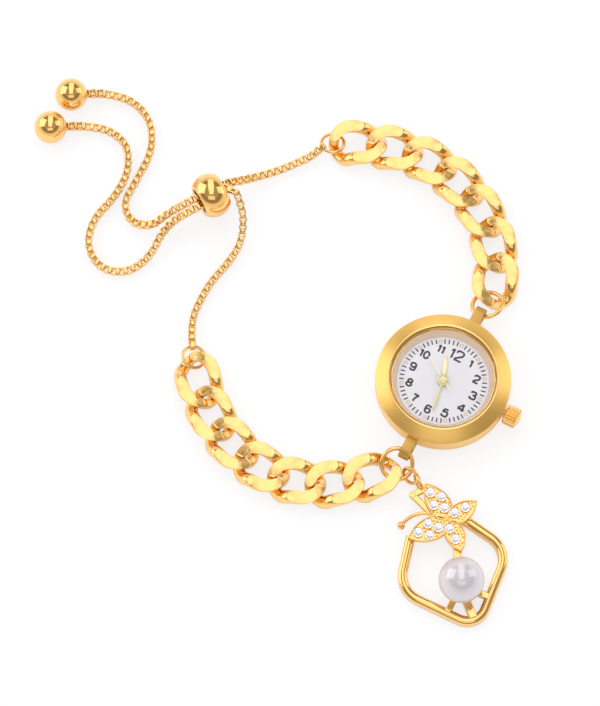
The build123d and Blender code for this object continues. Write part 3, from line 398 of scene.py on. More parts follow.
def flat(corner: Pair | Vector) -> Vector:
    """Puts a flat outline's corner in space.

    Args:
        corner: Its two parts, or a vector.

    Returns:
        The corner, with its third part 0.
    """
    return Vector((corner[0], corner[1], 0))


def arc(middle: Pair, radii: Pair, start: float, end: float, steps: int) -> Outline:
    """Draws an arc of an ellipse.

    Args:
        middle: The ellipse's middle.
        radii: Half its width and half its height.
        start: The angle of the first point, in degrees from +X towards +Y.
        end: The angle of the last point.
        steps: Points, less one.

    Returns:
        The points.
    """
    turns = [math.radians(start + (end - start) * step / steps) for step in range(steps + 1)]
    return [Vector((middle[0] + radii[0] * math.cos(turn), middle[1] + radii[1] * math.sin(turn), 0))
            for turn in turns]


def circle(radius: float, count: int) -> Outline:
    """Draws a circle about the origin.

    Args:
        radius: Its radius.
        count: How many points.

    Returns:
        The points, anticlockwise from +X.
    """
    return arc((0, 0), (radius, radius), 0, 360, count)[:-1]


def dome(radius: float, base: float, rise: float, steps: int) -> Outline:
    """Draws the profile of a turned piece's domed top.

    Args:
        radius: The dome's radius.
        base: The height of its rim.
        rise: How far its middle stands above the rim.
        steps: Points, less one.

    Returns:
        The points, from the rim to the axis.
    """
    shares = [1 - step / steps for step in range(steps + 1)]
    return [Vector((radius * share, base + rise * (1 - share ** 2), 0)) for share in shares]


def bend(start: Vector, corner: Vector, end: Vector, steps: int) -> list[Vector]:
    """Draws a smooth bend that heads for a corner and leaves it for its end.

    Args:
        start: Its first point.
        corner: The corner that it cuts.
        end: Its last point.
        steps: Points, less one.

    Returns:
        The points.
    """
    shares = [step / steps for step in range(steps + 1)]
    return [start.lerp(corner, share).lerp(corner.lerp(end, share), share) for share in shares]


def rounded(corners: list, radius: float, steps: int = 3, closed: bool = True) -> Outline:
    """Rounds the corners of a flat outline.

    Args:
        corners: The outline's corners.
        radius: How far from a corner its curve starts, at most.
        steps: Points in each curve, less one.
        closed: The last corner joins the first.

    Returns:
        The rounded outline.
    """
    places = [flat(corner) for corner in corners]
    outline = []
    for number, here in enumerate(places):
        if not closed and number in (0, len(places) - 1):
            outline.append(here)
            continue
        back = places[number - 1] - here
        ahead = places[(number + 1) % len(places)] - here
        start = here + back.normalized() * min(radius, back.length / 2)
        end = here + ahead.normalized() * min(radius, ahead.length / 2)
        outline += bend(start, here, end, steps)
    return outline


# Mesh tools


def grid(rows: int, columns: int, round_rows: bool = False, round_columns: bool = True) -> list[Face]:
    """Faces of a grid of points, row after row.

    Args:
        rows: How many rows of points.
        columns: How many points in a row.
        round_rows: The last row joins the first.
        round_columns: The last point of a row joins its first.

    Returns:
        Four-sided faces.
    """
    faces = []
    for row in range(rows if round_rows else rows - 1):
        low, high = row * columns, (row + 1) % rows * columns
        for column in range(columns if round_columns else columns - 1):
            after = (column + 1) % columns
            faces.append((low + column, low + after, high + after, high + column))
    return faces


@dataclass
class Heap:
    """The points and faces of a mesh that grows part by part."""

    points: list[Vector] = field(default_factory=list)
    faces: list[Face] = field(default_factory=list)

    def add(self, points: list[Vector], faces: list[Face]) -> None:
        """Adds one part.

        Args:
            points: Its points.
            faces: Its faces, by the numbers of its own points.
        """
        first = len(self.points)
        self.points += points
        self.faces += [tuple(first + corner for corner in face) for face in faces]

    def piece(self, name: str, finish: Finish, sharp: float = 38.0) -> Piece:
        """Makes a piece of all parts.

        Args:
            name: Its name.
            finish: Its surface.
            sharp: Edges that turn by more than this many degrees stay sharp.

        Returns:
            The piece.
        """
        return shape(name, self.points, self.faces, finish, sharp)


def new_object(name: str, data: bpy.types.ID) -> Piece:
    """Makes an object in the scene.

    Args:
        name: Its name.
        data: Its mesh, lamp or camera.

    Returns:
        The object.
    """
    made = bpy.data.objects.new(name, data)
    bpy.context.scene.collection.objects.link(made)
    return made


def finished(name: str, built: bmesh.types.BMesh, finish: Finish, sharp: float) -> Piece:
    """Makes a smooth-shaded piece of a built mesh.

    Args:
        name: The piece's name.
        built: The mesh, in metres. It is used up.
        finish: The piece's surface.
        sharp: Edges that turn by more than this many degrees stay sharp.

    Returns:
        The piece.
    """
    mesh = bpy.data.meshes.new(name)
    built.to_mesh(mesh)
    built.free()
    mesh.shade_smooth()
    mesh.set_sharp_from_angle(angle=math.radians(sharp))
    mesh.materials.append(finish.material())
    return new_object(name, mesh)


def shape(name: str, points: list[Vector], faces: list[Face], finish: Finish,
          sharp: float = 38.0) -> Piece:
    """Makes a piece of points and faces.

    Args:
        name: The piece's name.
        points: Its corners.
        faces: Its faces as corner numbers.
        finish: Its surface.
        sharp: Edges that turn by more than this many degrees stay sharp.

    Returns:
        The piece.
    """
    mesh = bpy.data.meshes.new(name)
    mesh.from_pydata([point * MM for point in points], [], faces)
    built = bmesh.new()
    built.from_mesh(mesh)
    bpy.data.meshes.remove(mesh)
    bmesh.ops.remove_doubles(built, verts=built.verts, dist=1e-8)
    bmesh.ops.recalc_face_normals(built, faces=built.faces)
    return finished(name, built, finish, sharp)


def lathe(name: str, profile: Outline, finish: Finish, segments: int = 192, closed: bool = True,
          sharp: float = 38.0) -> Piece:
    """Turns a profile about the Z axis.

    Args:
        name: The piece's name.
        profile: Radius and height of each point.
        finish: Its surface.
        segments: Steps round the axis.
        closed: The profile's last point joins its first.
        sharp: Edges that turn by more than this many degrees stay sharp.

    Returns:
        The turned piece.
    """
    points = [Vector((point.x * way.x, point.x * way.y, point.y))
              for way in circle(1, segments) for point in profile]
    return shape(name, points, grid(segments, len(profile), True, closed), finish, sharp)


def swept(path: list[Vector], section: Outline, closed: bool, upright: Vector | None = None,
          scales: list[float] | None = None) -> tuple[list[Vector], list[Face]]:
    """Carries a flat section along a path; open ends are capped.

    Args:
        path: The points that the section's origin follows.
        section: The section; x is across the path, away from its middle, and y is along upright.
        closed: The path's last point joins its first.
        upright: The direction that y keeps. Without it, x points away from the path's middle.
        scales: A size for the section at each point of the path.

    Returns:
        One row of points for each point of the path, and the faces between them.
    """
    rows, columns = len(path), len(section)
    middle = sum(path, Vector()) / rows
    points = []
    for number, place in enumerate(path):
        before = path[number - 1] if closed or number else place
        after = path[(number + 1) % rows] if closed or number < rows - 1 else place
        ahead = (after - before).normalized()
        if upright is None:
            out = place - middle
            across = (out - ahead * out.dot(ahead)).normalized()
            up = ahead.cross(across)
        else:
            up = (upright - ahead * upright.dot(ahead)).normalized()
            across = ahead.cross(up)
        size = scales[number] if scales else 1.0
        points += [place + (across * point.x + up * point.y) * size for point in section]
    faces = grid(rows, columns, closed)
    if not closed:
        faces += [tuple(range(columns)), tuple(range((rows - 1) * columns, rows * columns))]
    return points, faces


def polish_between(piece: Piece, inner: float, outer: float) -> None:
    """Gives part of a turned piece a polish.

    Args:
        piece: The piece.
        inner: The smallest radius of the polished part.
        outer: Its largest radius.
    """
    piece.data.materials.append(POLISHED_GOLD.material())
    for face in piece.data.polygons:
        if inner * MM < face.center.to_2d().length < outer * MM:
            face.material_index = 1


def draw_loop(built: bmesh.types.BMesh, loop: Outline) -> tuple[list, list]:
    """Draws a closed outline into a mesh that is being built.

    Args:
        built: The mesh.
        loop: The outline.

    Returns:
        The new corners and the new edges.
    """
    corners = [built.verts.new(point * MM) for point in loop]
    return corners, [built.edges.new((corners[n - 1], corners[n])) for n in range(len(corners))]


def join(name: str, parts: list[Piece]) -> Piece:
    """Joins pieces into one, each keeping its own material.

    Args:
        name: The joined piece's name.
        parts: The pieces. They are used up.

    Returns:
        The joined piece.
    """
    with bpy.context.temp_override(active_object=parts[0], object=parts[0],
                                   selected_objects=parts, selected_editable_objects=parts):
        bpy.ops.object.join()
    parts[0].name = parts[0].data.name = name
    return parts[0]


def fit(piece: Piece, body: str, slot: str, *nodes: str) -> None:
    """Puts a piece on a CAD body.

    Args:
        piece: The piece, in place.
        body: The body that carries it.
        slot: The record's material slot. It is not used.
        *nodes: The CAD nodes that it stands for.
    """
    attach(piece, body)
    if nodes:
        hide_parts(*nodes)
    LOG.info("%s: %d faces on %s", piece.name, len(piece.data.polygons), body)


def dress(node: Piece, finish: Finish) -> None:
    """Gives a CAD node a finish.

    Args:
        node: The node's object.
        finish: Its surface.
    """
    for place in node.material_slots:
        place.material = finish.material()
    LOG.info("%s: dressed in %s", node.name, finish.title)


def joint(frame: dict, name: str) -> tuple[Vector, Vector]:
    """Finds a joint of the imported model.

    Args:
        name: The joint's name.

    Returns:
        Its place and its axis.
    """
    row = next(row for row in frame["joints"] if row["name"] == name)
    return Vector(row.get("pos_m") or (0, 0, 0)) / MM, Vector(row["axis"])


# The watch


@dataclass
class WatchHead:
    """Case, bezel, crystal, dial ring and case back."""

    nodes: dict[str, Piece]
    case_radius: float = 12.25
    foot_radius: float = 11.4
    recess_radius: float = 11.13
    ledge_radius: float = 9.8
    spigot_radius: float = 10.9
    case_low: float = 0.35
    recess_top: float = 0.9
    foot_top: float = 1.85
    case_top: float = 4.8
    spigot_top: float = 5.5
    bezel_top: float = 6.3
    bezel_wall: float = 0.35
    bezel_floor: float = 5.9
    bezel_play: float = 0.03
    slope_swell: float = 0.14
    lip_width: float = 0.14
    lip_radius: float = 9.6
    lip_drop: float = 0.05
    polished_lip: float = 9.99
    crystal_radius: float = 9.4
    crystal_low: float = 5.3
    crystal_edge: float = 0.2
    crystal_dome: float = 0.35
    ring_radii: tuple[float, float, float] = (8.35, 9.15, 9.77)
    ring_heights: tuple[float, float, float] = (3.87, 4.07, 5.27)
    ring_polish: float = 9.12
    lug_root: float = 11.5
    lug_reach: float = 14.55
    lug_width: float = 1.95
    lug_thickness: float = 3.0
    lug_height: float = 2.6
    lug_hole: float = 2.05
    lug_bevel: float = 0.17

    def build(self) -> None:
        """Builds the head's outer pieces."""
        self.case()
        self.bezel()
        self.crystal()
        self.dial_ring()
        for side in (1, -1):
            self.lug(side)
        dress(self.nodes["case_back"], BACK_STEEL)
        dress(self.nodes["crystal_gasket"], AMBER_NYLON)
        dress(self.nodes["back_gasket"], BLACK_RUBBER)

    def case(self) -> None:
        """Turns the case middle, with the recess for the back and the spigot for the bezel."""
        foot = arc((self.foot_radius, self.foot_top),
                   (self.case_radius - self.foot_radius, self.foot_top - self.case_low), -90, 0, 8)
        corners = [*foot, (self.case_radius, self.case_top), (self.spigot_radius, self.case_top),
                   (self.spigot_radius, self.spigot_top), (self.ledge_radius, self.spigot_top),
                   (self.ledge_radius, self.recess_top), (self.recess_radius, self.recess_top),
                   (self.recess_radius, self.case_low)]
        fit(lathe("case_middle_turned", rounded(corners, 0.07), SATIN_GOLD), "watch_head",
            "gold_plated_metal", "case_middle")

    def bezel(self) -> None:
        """Turns the bezel: a wide satin slope with a polished lip round the crystal."""
        start = Vector((self.case_radius, self.case_top + self.bezel_wall, 0))
        end = Vector((self.ledge_radius + self.lip_width, self.bezel_top, 0))
        across = (end - start).normalized()
        out = Vector((across.y, -across.x, 0)) * self.slope_swell
        slope = [start.lerp(end, share) + out * share * (1 - share)
                 for share in (step / 16 for step in range(17))]
        seat, low = self.spigot_radius + self.bezel_play, self.spigot_top + self.bezel_play
        corners = [(self.case_radius, self.case_top), *slope,
                   (self.lip_radius, self.bezel_top - self.lip_drop),
                   (self.lip_radius, self.bezel_floor),
                   (self.ledge_radius, self.bezel_floor), (self.ledge_radius, low), (seat, low),
                   (seat, self.case_top)]
        piece = lathe("bezel_turned", rounded(corners, 0.09), SATIN_GOLD)
        polish_between(piece, 0, self.polished_lip)
        fit(piece, "watch_head", "brushed_gold", "bezel")

    def crystal(self) -> None:
        """Turns the domed crystal with its polished edge."""
        rim = self.crystal_radius - self.crystal_edge
        profile = [flat((0, self.crystal_low)), flat((self.crystal_radius, self.crystal_low)),
                   flat((self.crystal_radius, self.bezel_top - self.crystal_edge)),
                   *dome(rim, self.bezel_top, self.crystal_dome, 24)]
        fit(lathe("crystal_domed", profile, CRYSTAL_GLASS, closed=False), "watch_head",
            "mineral_glass", "crystal")

    def dial_ring(self) -> None:
        """Turns the polished sloping ring between the dial and the crystal."""
        inner, shoulder, outer = self.ring_radii
        low, step, high = self.ring_heights
        corners = [(inner, low), (outer, low), (outer, high), (shoulder, high), (inner, step)]
        # The ring's colour is painted lighter to undo the shade of the bezel over it
        ring = lathe("dial_ring_turned", rounded(corners, 0.05), ROSE_GOLD_PAINTED_LIGHT)
        polish_between(ring, self.ring_polish, outer)
        fit(ring, "watch_head", "gold_plated_metal", "dial_ring")

    def lug(self, side: int) -> None:
        """Makes one pierced lug, a flat-topped tongue with a round end.

        Args:
            side: 1 for 12 o'clock, -1 for 6 o'clock.
        """
        half = self.lug_thickness / 2
        outline = [flat((self.lug_root, -half)),
                   *arc((self.lug_reach, 0), (half, half), -90, 90, 16),
                   flat((self.lug_root, half))]
        hole = [point + flat((self.lug_reach, 0)) for point in circle(self.lug_hole / 2, 24)]
        built = bmesh.new()
        edges = [edge for loop in (outline, hole) for edge in draw_loop(built, loop)[1]]
        bmesh.ops.triangle_fill(built, edges=edges, use_beauty=True)
        grown = bmesh.ops.extrude_face_region(built, geom=built.faces[:])
        moved = [item for item in grown["geom"] if isinstance(item, bmesh.types.BMVert)]
        bmesh.ops.translate(built, verts=moved, vec=(0, 0, self.lug_width * MM))
        bmesh.ops.recalc_face_normals(built, faces=built.faces)
        rim = [edge for edge in built.edges if len(edge.link_faces) == 2
               and edge.calc_face_angle() > math.radians(60)]
        bmesh.ops.bevel(built, geom=rim, offset=self.lug_bevel * MM, segments=3, affect="EDGES",
                        profile=0.6)
        piece = finished(f"lug_{'twelve' if side > 0 else 'six'}", built, MATT_GOLD, 30)
        # The outline was drawn in reach and height, so it stands up across the watch
        stand = Matrix(((0, 0, 1, -self.lug_width / 2 * MM), (side, 0, 0, 0),
                        (0, 1, 0, self.lug_height * MM), (0, 0, 0, 1)))
        piece.data.transform(stand)
        if side > 0:
            piece.data.flip_normals()
        fit(piece, "watch_head", "gold_plated_metal")


# Open strokes of each numeral, from -0.3 to 0.3 across and -0.5 to 0.5 upwards
STROKES: dict[str, list[list[Pair]]] = {
    "1": [[(0.07, -0.5), (0.07, 0.5)], [(-0.13, 0.27), (0.0, 0.36), (0.07, 0.5)]],
    "2": [[(-0.27, 0.24), (-0.25, 0.5), (0.0, 0.53), (0.28, 0.47), (0.27, 0.1), (0.0, -0.12),
           (-0.29, -0.44)], [(-0.29, -0.5), (0.29, -0.5)]],
    "3": [[(-0.26, 0.28), (-0.24, 0.5), (0.0, 0.52), (0.25, 0.5), (0.25, 0.05), (-0.06, 0.04)],
          [(-0.06, 0.04), (0.3, 0.04), (0.3, -0.5), (0.0, -0.52), (-0.26, -0.5), (-0.28, -0.24)]],
    "4": [[(0.16, -0.5), (0.16, 0.54)], [(0.14, 0.52), (-0.37, -0.2)],
          [(-0.37, -0.24), (0.37, -0.24)]],
    "5": [[(0.25, 0.5), (-0.18, 0.5)], [(-0.18, 0.5), (-0.24, 0.0)],
          [(-0.24, 0.02), (-0.1, 0.16), (0.29, 0.16), (0.29, -0.5), (0.0, -0.52), (-0.25, -0.5),
           (-0.28, -0.26)]],
    "6": [[(0.25, 0.36), (0.14, 0.52), (-0.27, 0.52), (-0.28, 0.0), (-0.27, -0.2)]],
    "7": [[(-0.28, 0.5), (0.28, 0.5)], [(0.28, 0.5), (0.0, 0.1), (-0.08, -0.5)]],
    "9": [[(-0.25, -0.36), (-0.14, -0.52), (0.27, -0.52), (0.28, 0.0), (0.27, 0.2)]],
}
# Round bowls of each numeral: the middle, and half the width and height
BOWLS: dict[str, list[tuple[Pair, Pair]]] = {
    "0": [((0, 0), (0.27, 0.5))],
    "6": [((0, -0.19), (0.28, 0.31))],
    "8": [((0, 0.25), (0.23, 0.25)), ((0, -0.24), (0.28, 0.27))],
    "9": [((0, 0.19), (0.28, 0.31))],
}


def soft_line(corners: Outline, closed: bool) -> Outline:
    """Smooths a numeral's stroke by cutting its corners three times.

    Args:
        corners: The stroke's corners.
        closed: The last corner joins the first.

    Returns:
        The stroke's middle line.
    """
    line = corners
    for _ in range(3):
        cut = [] if closed else [line[0]]
        for number in range(0 if closed else 1, len(line)):
            before, here = line[number - 1], line[number]
            cut += [before.lerp(here, 0.25), before.lerp(here, 0.75)]
        line = cut if closed else cut + [line[-1]]
    return line


@dataclass
class Dial:
    """The lacquered dial and its print: minute track, hour rings and numerals 1 to 12."""

    radius: float = 10.5
    low: float = 3.52
    top: float = 3.84
    hole: float = 1.0
    print_height: float = 0.012
    tick_reach: float = 7.5
    tick_length: float = 0.85
    tick_width: float = 0.24
    ring_radius: float = 0.3
    ring_wire: float = 0.075
    ring_rise: float = 0.35
    numeral_reach: float = 6.05
    twelve_reach: float = 5.5
    numeral_height: float = 1.72
    twelve_height: float = 2.2
    numeral_stretch: float = 1.3
    one_advance: float = 0.44
    digit_advance: float = 0.76
    stroke: float = 0.37

    def build(self) -> None:
        """Builds the dial and all its print."""
        corners = [(self.hole, self.low), (self.radius, self.low), (self.radius, self.top),
                   (self.hole, self.top)]
        fit(lathe("dial_lacquered", rounded(corners, 0.03), DIAL_LACQUER), "watch_head",
            "white_dial", "dial")
        self.minute_track()
        self.hour_rings()
        self.numerals()

    def spoke(self, share: float) -> Vector:
        """Finds a direction on the dial.

        Args:
            share: The share of a turn, clockwise from 12 o'clock.

        Returns:
            A unit vector.
        """
        return Vector((math.sin(math.tau * share), math.cos(math.tau * share), 0))

    def minute_track(self) -> None:
        """Prints a tick at each minute that isn't an hour."""
        ticks = Heap()
        for minute in range(60):
            if minute % 5 == 0:
                continue
            ahead = self.spoke(minute / 60)
            aside = ahead.cross(UP)
            corners = [aside * x * self.tick_width / 2
                       + ahead * (self.tick_reach + y * self.tick_length / 2)
                       for x, y in ((-1, -1), (1, -1), (1, 1), (-1, 1))]
            ticks.add([corner + UP * height for height in (self.top, self.top + self.print_height)
                       for corner in corners], grid(2, 4) + [(4, 5, 6, 7)])
        fit(ticks.piece("dial_minute_track", DIAL_INK), "watch_head", "white_dial")

    def hour_rings(self) -> None:
        """Prints a small ring at each hour."""
        section = [Vector((point.x, point.y * self.ring_rise, 0))
                   for point in circle(self.ring_wire, 8)]
        rings = Heap()
        for hour in range(12):
            middle = self.spoke(hour / 12) * self.tick_reach + UP * self.top
            path = [middle + point for point in circle(self.ring_radius, 20)]
            rings.add(*swept(path, section, True, UP))
        fit(rings.piece("dial_hour_rings", ROSE_INK), "watch_head", "white_dial")

    def numerals(self) -> None:
        """Prints the numerals, all upright to 12 o'clock."""
        half = self.stroke / 2
        section = [flat(corner) for corner in ((half, 0), (half, self.print_height),
                                               (-half, self.print_height), (-half, 0))]
        ink = Heap()
        for hour in range(1, 13):
            reach = self.twelve_reach if hour == 12 else self.numeral_reach
            height = (self.twelve_height if hour == 12 else self.numeral_height) - self.stroke
            middle = self.spoke(hour / 12) * reach + UP * self.top
            advances = [self.one_advance if digit == "1" else self.digit_advance
                        for digit in str(hour)]
            left = -sum(advances) / 2
            for digit, advance in zip(str(hour), advances):
                strokes = [([flat(corner) for corner in corners], False)
                           for corners in STROKES.get(digit, [])]
                strokes += [(arc(*bowl, 0, 360, 12)[:-1], True) for bowl in BOWLS.get(digit, [])]
                shift = left + advance / 2
                for corners, closed in strokes:
                    line = [middle + height * Vector(((point.x + shift) * self.numeral_stretch,
                                                      point.y, 0))
                            for point in soft_line(corners, closed)]
                    ink.add(*swept(line, section, closed, UP))
                left += advance
        fit(ink.piece("dial_numerals", DIAL_INK), "watch_head", "white_dial")


@dataclass
class Hands:
    """Leaf hands with a ridge, and a thin second hand, stacked on one hub."""

    low: float = 4.14
    thickness: float = 0.12
    edge: float = 0.06
    gap: float = 0.15
    hub_radius: float = 1.05
    hub_height: float = 0.16
    rows: int = 28
    # Along the second hand from its tail: the place and half the width
    second_ends: tuple[Pair, ...] = ((-2.0, 0.11), (-0.2, 0.1), (5.1, 0.06))
    second_height: float = 0.08
    # The second hand's hub from the axis out and back: a saucer round a pin with a hollow head
    boss: tuple[Pair, ...] = (
        (0, 0), (0.88, 0), (0.88, 0.22), (0.72, 0.3), (0.58, 0.24), (0.56, 0.1), (0.36, 0.1),
        (0.34, 0.34), (0.14, 0.36), (0.12, 0.2), (0, 0.2))

    def build(self) -> None:
        """Builds the three hands and the hub's stack."""
        self.leaf("hour_hand", "hours", 0, -341, 4.68, 0.86, 0.64, 0.45)
        self.leaf("minute_hand", "centre", 1, -170.7, 6.2, 0.5, 0.7, 0.75)
        self.second()

    def assemble(self, name: str, node: str, body: str, level: int, angle: float,
                 corners: list[Pair], blade: Heap) -> None:
        """Joins a blade that was drawn along +Y with its hub, and turns it to its place.

        Args:
            name: The hand's name.
            node: The CAD node that it stands for.
            body: The body that carries it.
            level: Its place in the stack, from 0.
            angle: Its turn about the watch's axis in degrees.
            corners: The radius and height of the hub's corners, from the axis out and back again.
            blade: Its blade.
        """
        hub = lathe("hub", rounded(corners, 0.03, closed=False), HAND_GOLD, 48, False, 40)
        hand = join(name, [hub, blade.piece("blade", HAND_GOLD, 20)])
        height = self.low + level * (self.thickness + self.gap)
        hand.data.transform(Matrix.Translation(UP * height * MM)
                            @ Matrix.Rotation(math.radians(angle), 4, "Z"))
        fit(hand, body, "gold_plated_metal", node)

    def leaf(self, node: str, body: str, level: int, angle: float, length: float, width: float,
             belly: float, neck: float) -> None:
        """Makes a leaf hand.

        Args:
            node: The CAD node that it stands for.
            body: The body that carries it.
            level: Its place in the stack, from 0.
            angle: Its turn about the watch's axis in degrees.
            length: From the axis to its tip.
            width: Its greatest width.
            belly: The share of its length where it is widest.
            neck: The share of its width that it keeps at the hub.
        """
        blade = Heap()
        for row in range(self.rows + 1):
            share = row / self.rows
            spread = (neck + (1 - neck) * math.sin(math.pi / 2 * share / belly) ** 1.5
                      if share < belly
                      else max(math.cos(math.pi / 2 * (share - belly) / (1 - belly)), 0) ** 0.7)
            half = max(width / 2 * spread, 0.005)
            blade.points += [Vector((x * half, length * share, height)) for x, height in (
                (-1, 0), (-1, self.edge), (0, self.thickness), (1, self.edge), (1, 0))]
        last = self.rows * 5
        blade.faces = grid(self.rows + 1, 5) + [tuple(range(5)), tuple(range(last, last + 5))]
        base = [(0, 0), (self.hub_radius, 0), (self.hub_radius, self.hub_height),
                (0, self.hub_height)]
        self.assemble(f"{node}_leaf", node, body, level, angle, base, blade)

    def second(self) -> None:
        """Makes the second hand."""
        blade = Heap([Vector((side * half, along, height)) for along, half in self.second_ends
                      for side, height in ((-1, 0), (-1, self.second_height),
                                           (1, self.second_height), (1, 0))],
                     grid(3, 4) + [(0, 1, 2, 3), (8, 9, 10, 11)])
        self.assemble("second_hand_thin", "second_hand", "seconds", 2, -302, list(self.boss), blade)


@dataclass
class Movement:
    """The quartz movement inside the case: CAD solids in the finishes of the real ones."""

    nodes: dict[str, Piece]

    def build(self) -> None:
        """Dresses each inner piece."""
        finishes = {
            MOVEMENT_BRASS: ("main_plate", "seconds_wheel", "third_wheel", "centre_wheel",
                             "minute_wheel", "hour_wheel", "intermediate_wheel", "rotor"),
            MOVEMENT_STEEL: ("train_bridge", "stator", "battery", "battery_clamp", "stem",
                             "setting_lever"),
            POLISHED_GOLD: ("crown_tube",),
            COPPER_WIRE: ("coil",),
            CIRCUIT_MASK: ("circuit_board",),
            HOLDER_PLASTIC: ("movement_holder",),
        }
        for finish, names in finishes.items():
            for name in names:
                dress(self.nodes[name], finish)


@dataclass
class Crown:
    """The fluted crown."""

    start: float = 12.6
    length: float = 2.6
    radius: float = 1.85
    rise: float = 0.35
    height: float = 2.8
    flutes: int = 20
    flute_depth: float = 0.27
    flute_sharpness: float = 1.6
    flute_steps: int = 12
    edge: float = 0.4
    bore: float = 0.53
    bore_depth: float = 1.3

    def build(self) -> None:
        """Builds the crown: a knob whose flutes run out at both rounded rims."""
        end, floor = self.start + self.length, self.start + self.bore_depth
        rim, edge = self.radius - self.edge, (self.edge, self.edge)
        # Radius, place along the crown, and the share of the flutes' depth
        stations = [(self.bore, floor, 0), (self.bore, self.start, 0)]
        stations += [(point.x, point.y, number / 4) for number, point
                     in enumerate(arc((rim, self.start + self.edge), edge, -90, 0, 4))]
        stations += [(self.radius, self.start + self.edge
                      + (self.length - 2 * self.edge) * step / 8, 1) for step in range(1, 8)]
        stations += [(point.x, point.y, 1 - number / 4) for number, point
                     in enumerate(arc((rim, end - self.edge), edge, 0, 90, 4))]
        stations += [(point.x, point.y, 0) for point in dome(rim, end, self.rise, 8)[1:]]
        around = self.flutes * self.flute_steps
        knob = Heap()
        for radius, along, depth in stations:
            for step in range(around):
                turn = math.tau * step / around
                cut = (0.5 + 0.5 * math.cos(self.flutes * turn)) ** self.flute_sharpness
                reach = radius - self.flute_depth * depth * cut
                knob.points.append(Vector((along, reach * math.cos(turn),
                                           self.height + reach * math.sin(turn))))
        knob.points.append(Vector((floor, 0, self.height)))
        knob.faces = grid(len(stations), around)
        knob.faces += [(len(knob.points) - 1, n, (n + 1) % around) for n in range(around)]
        fit(knob.piece("crown_fluted", POLISHED_GOLD, 50), "crown", "gold_plated_metal", "crown")


# The band


class Side(Enum):
    """A half of the bracelet, and the way its hinges turn."""

    UPPER = 1
    LOWER = -1


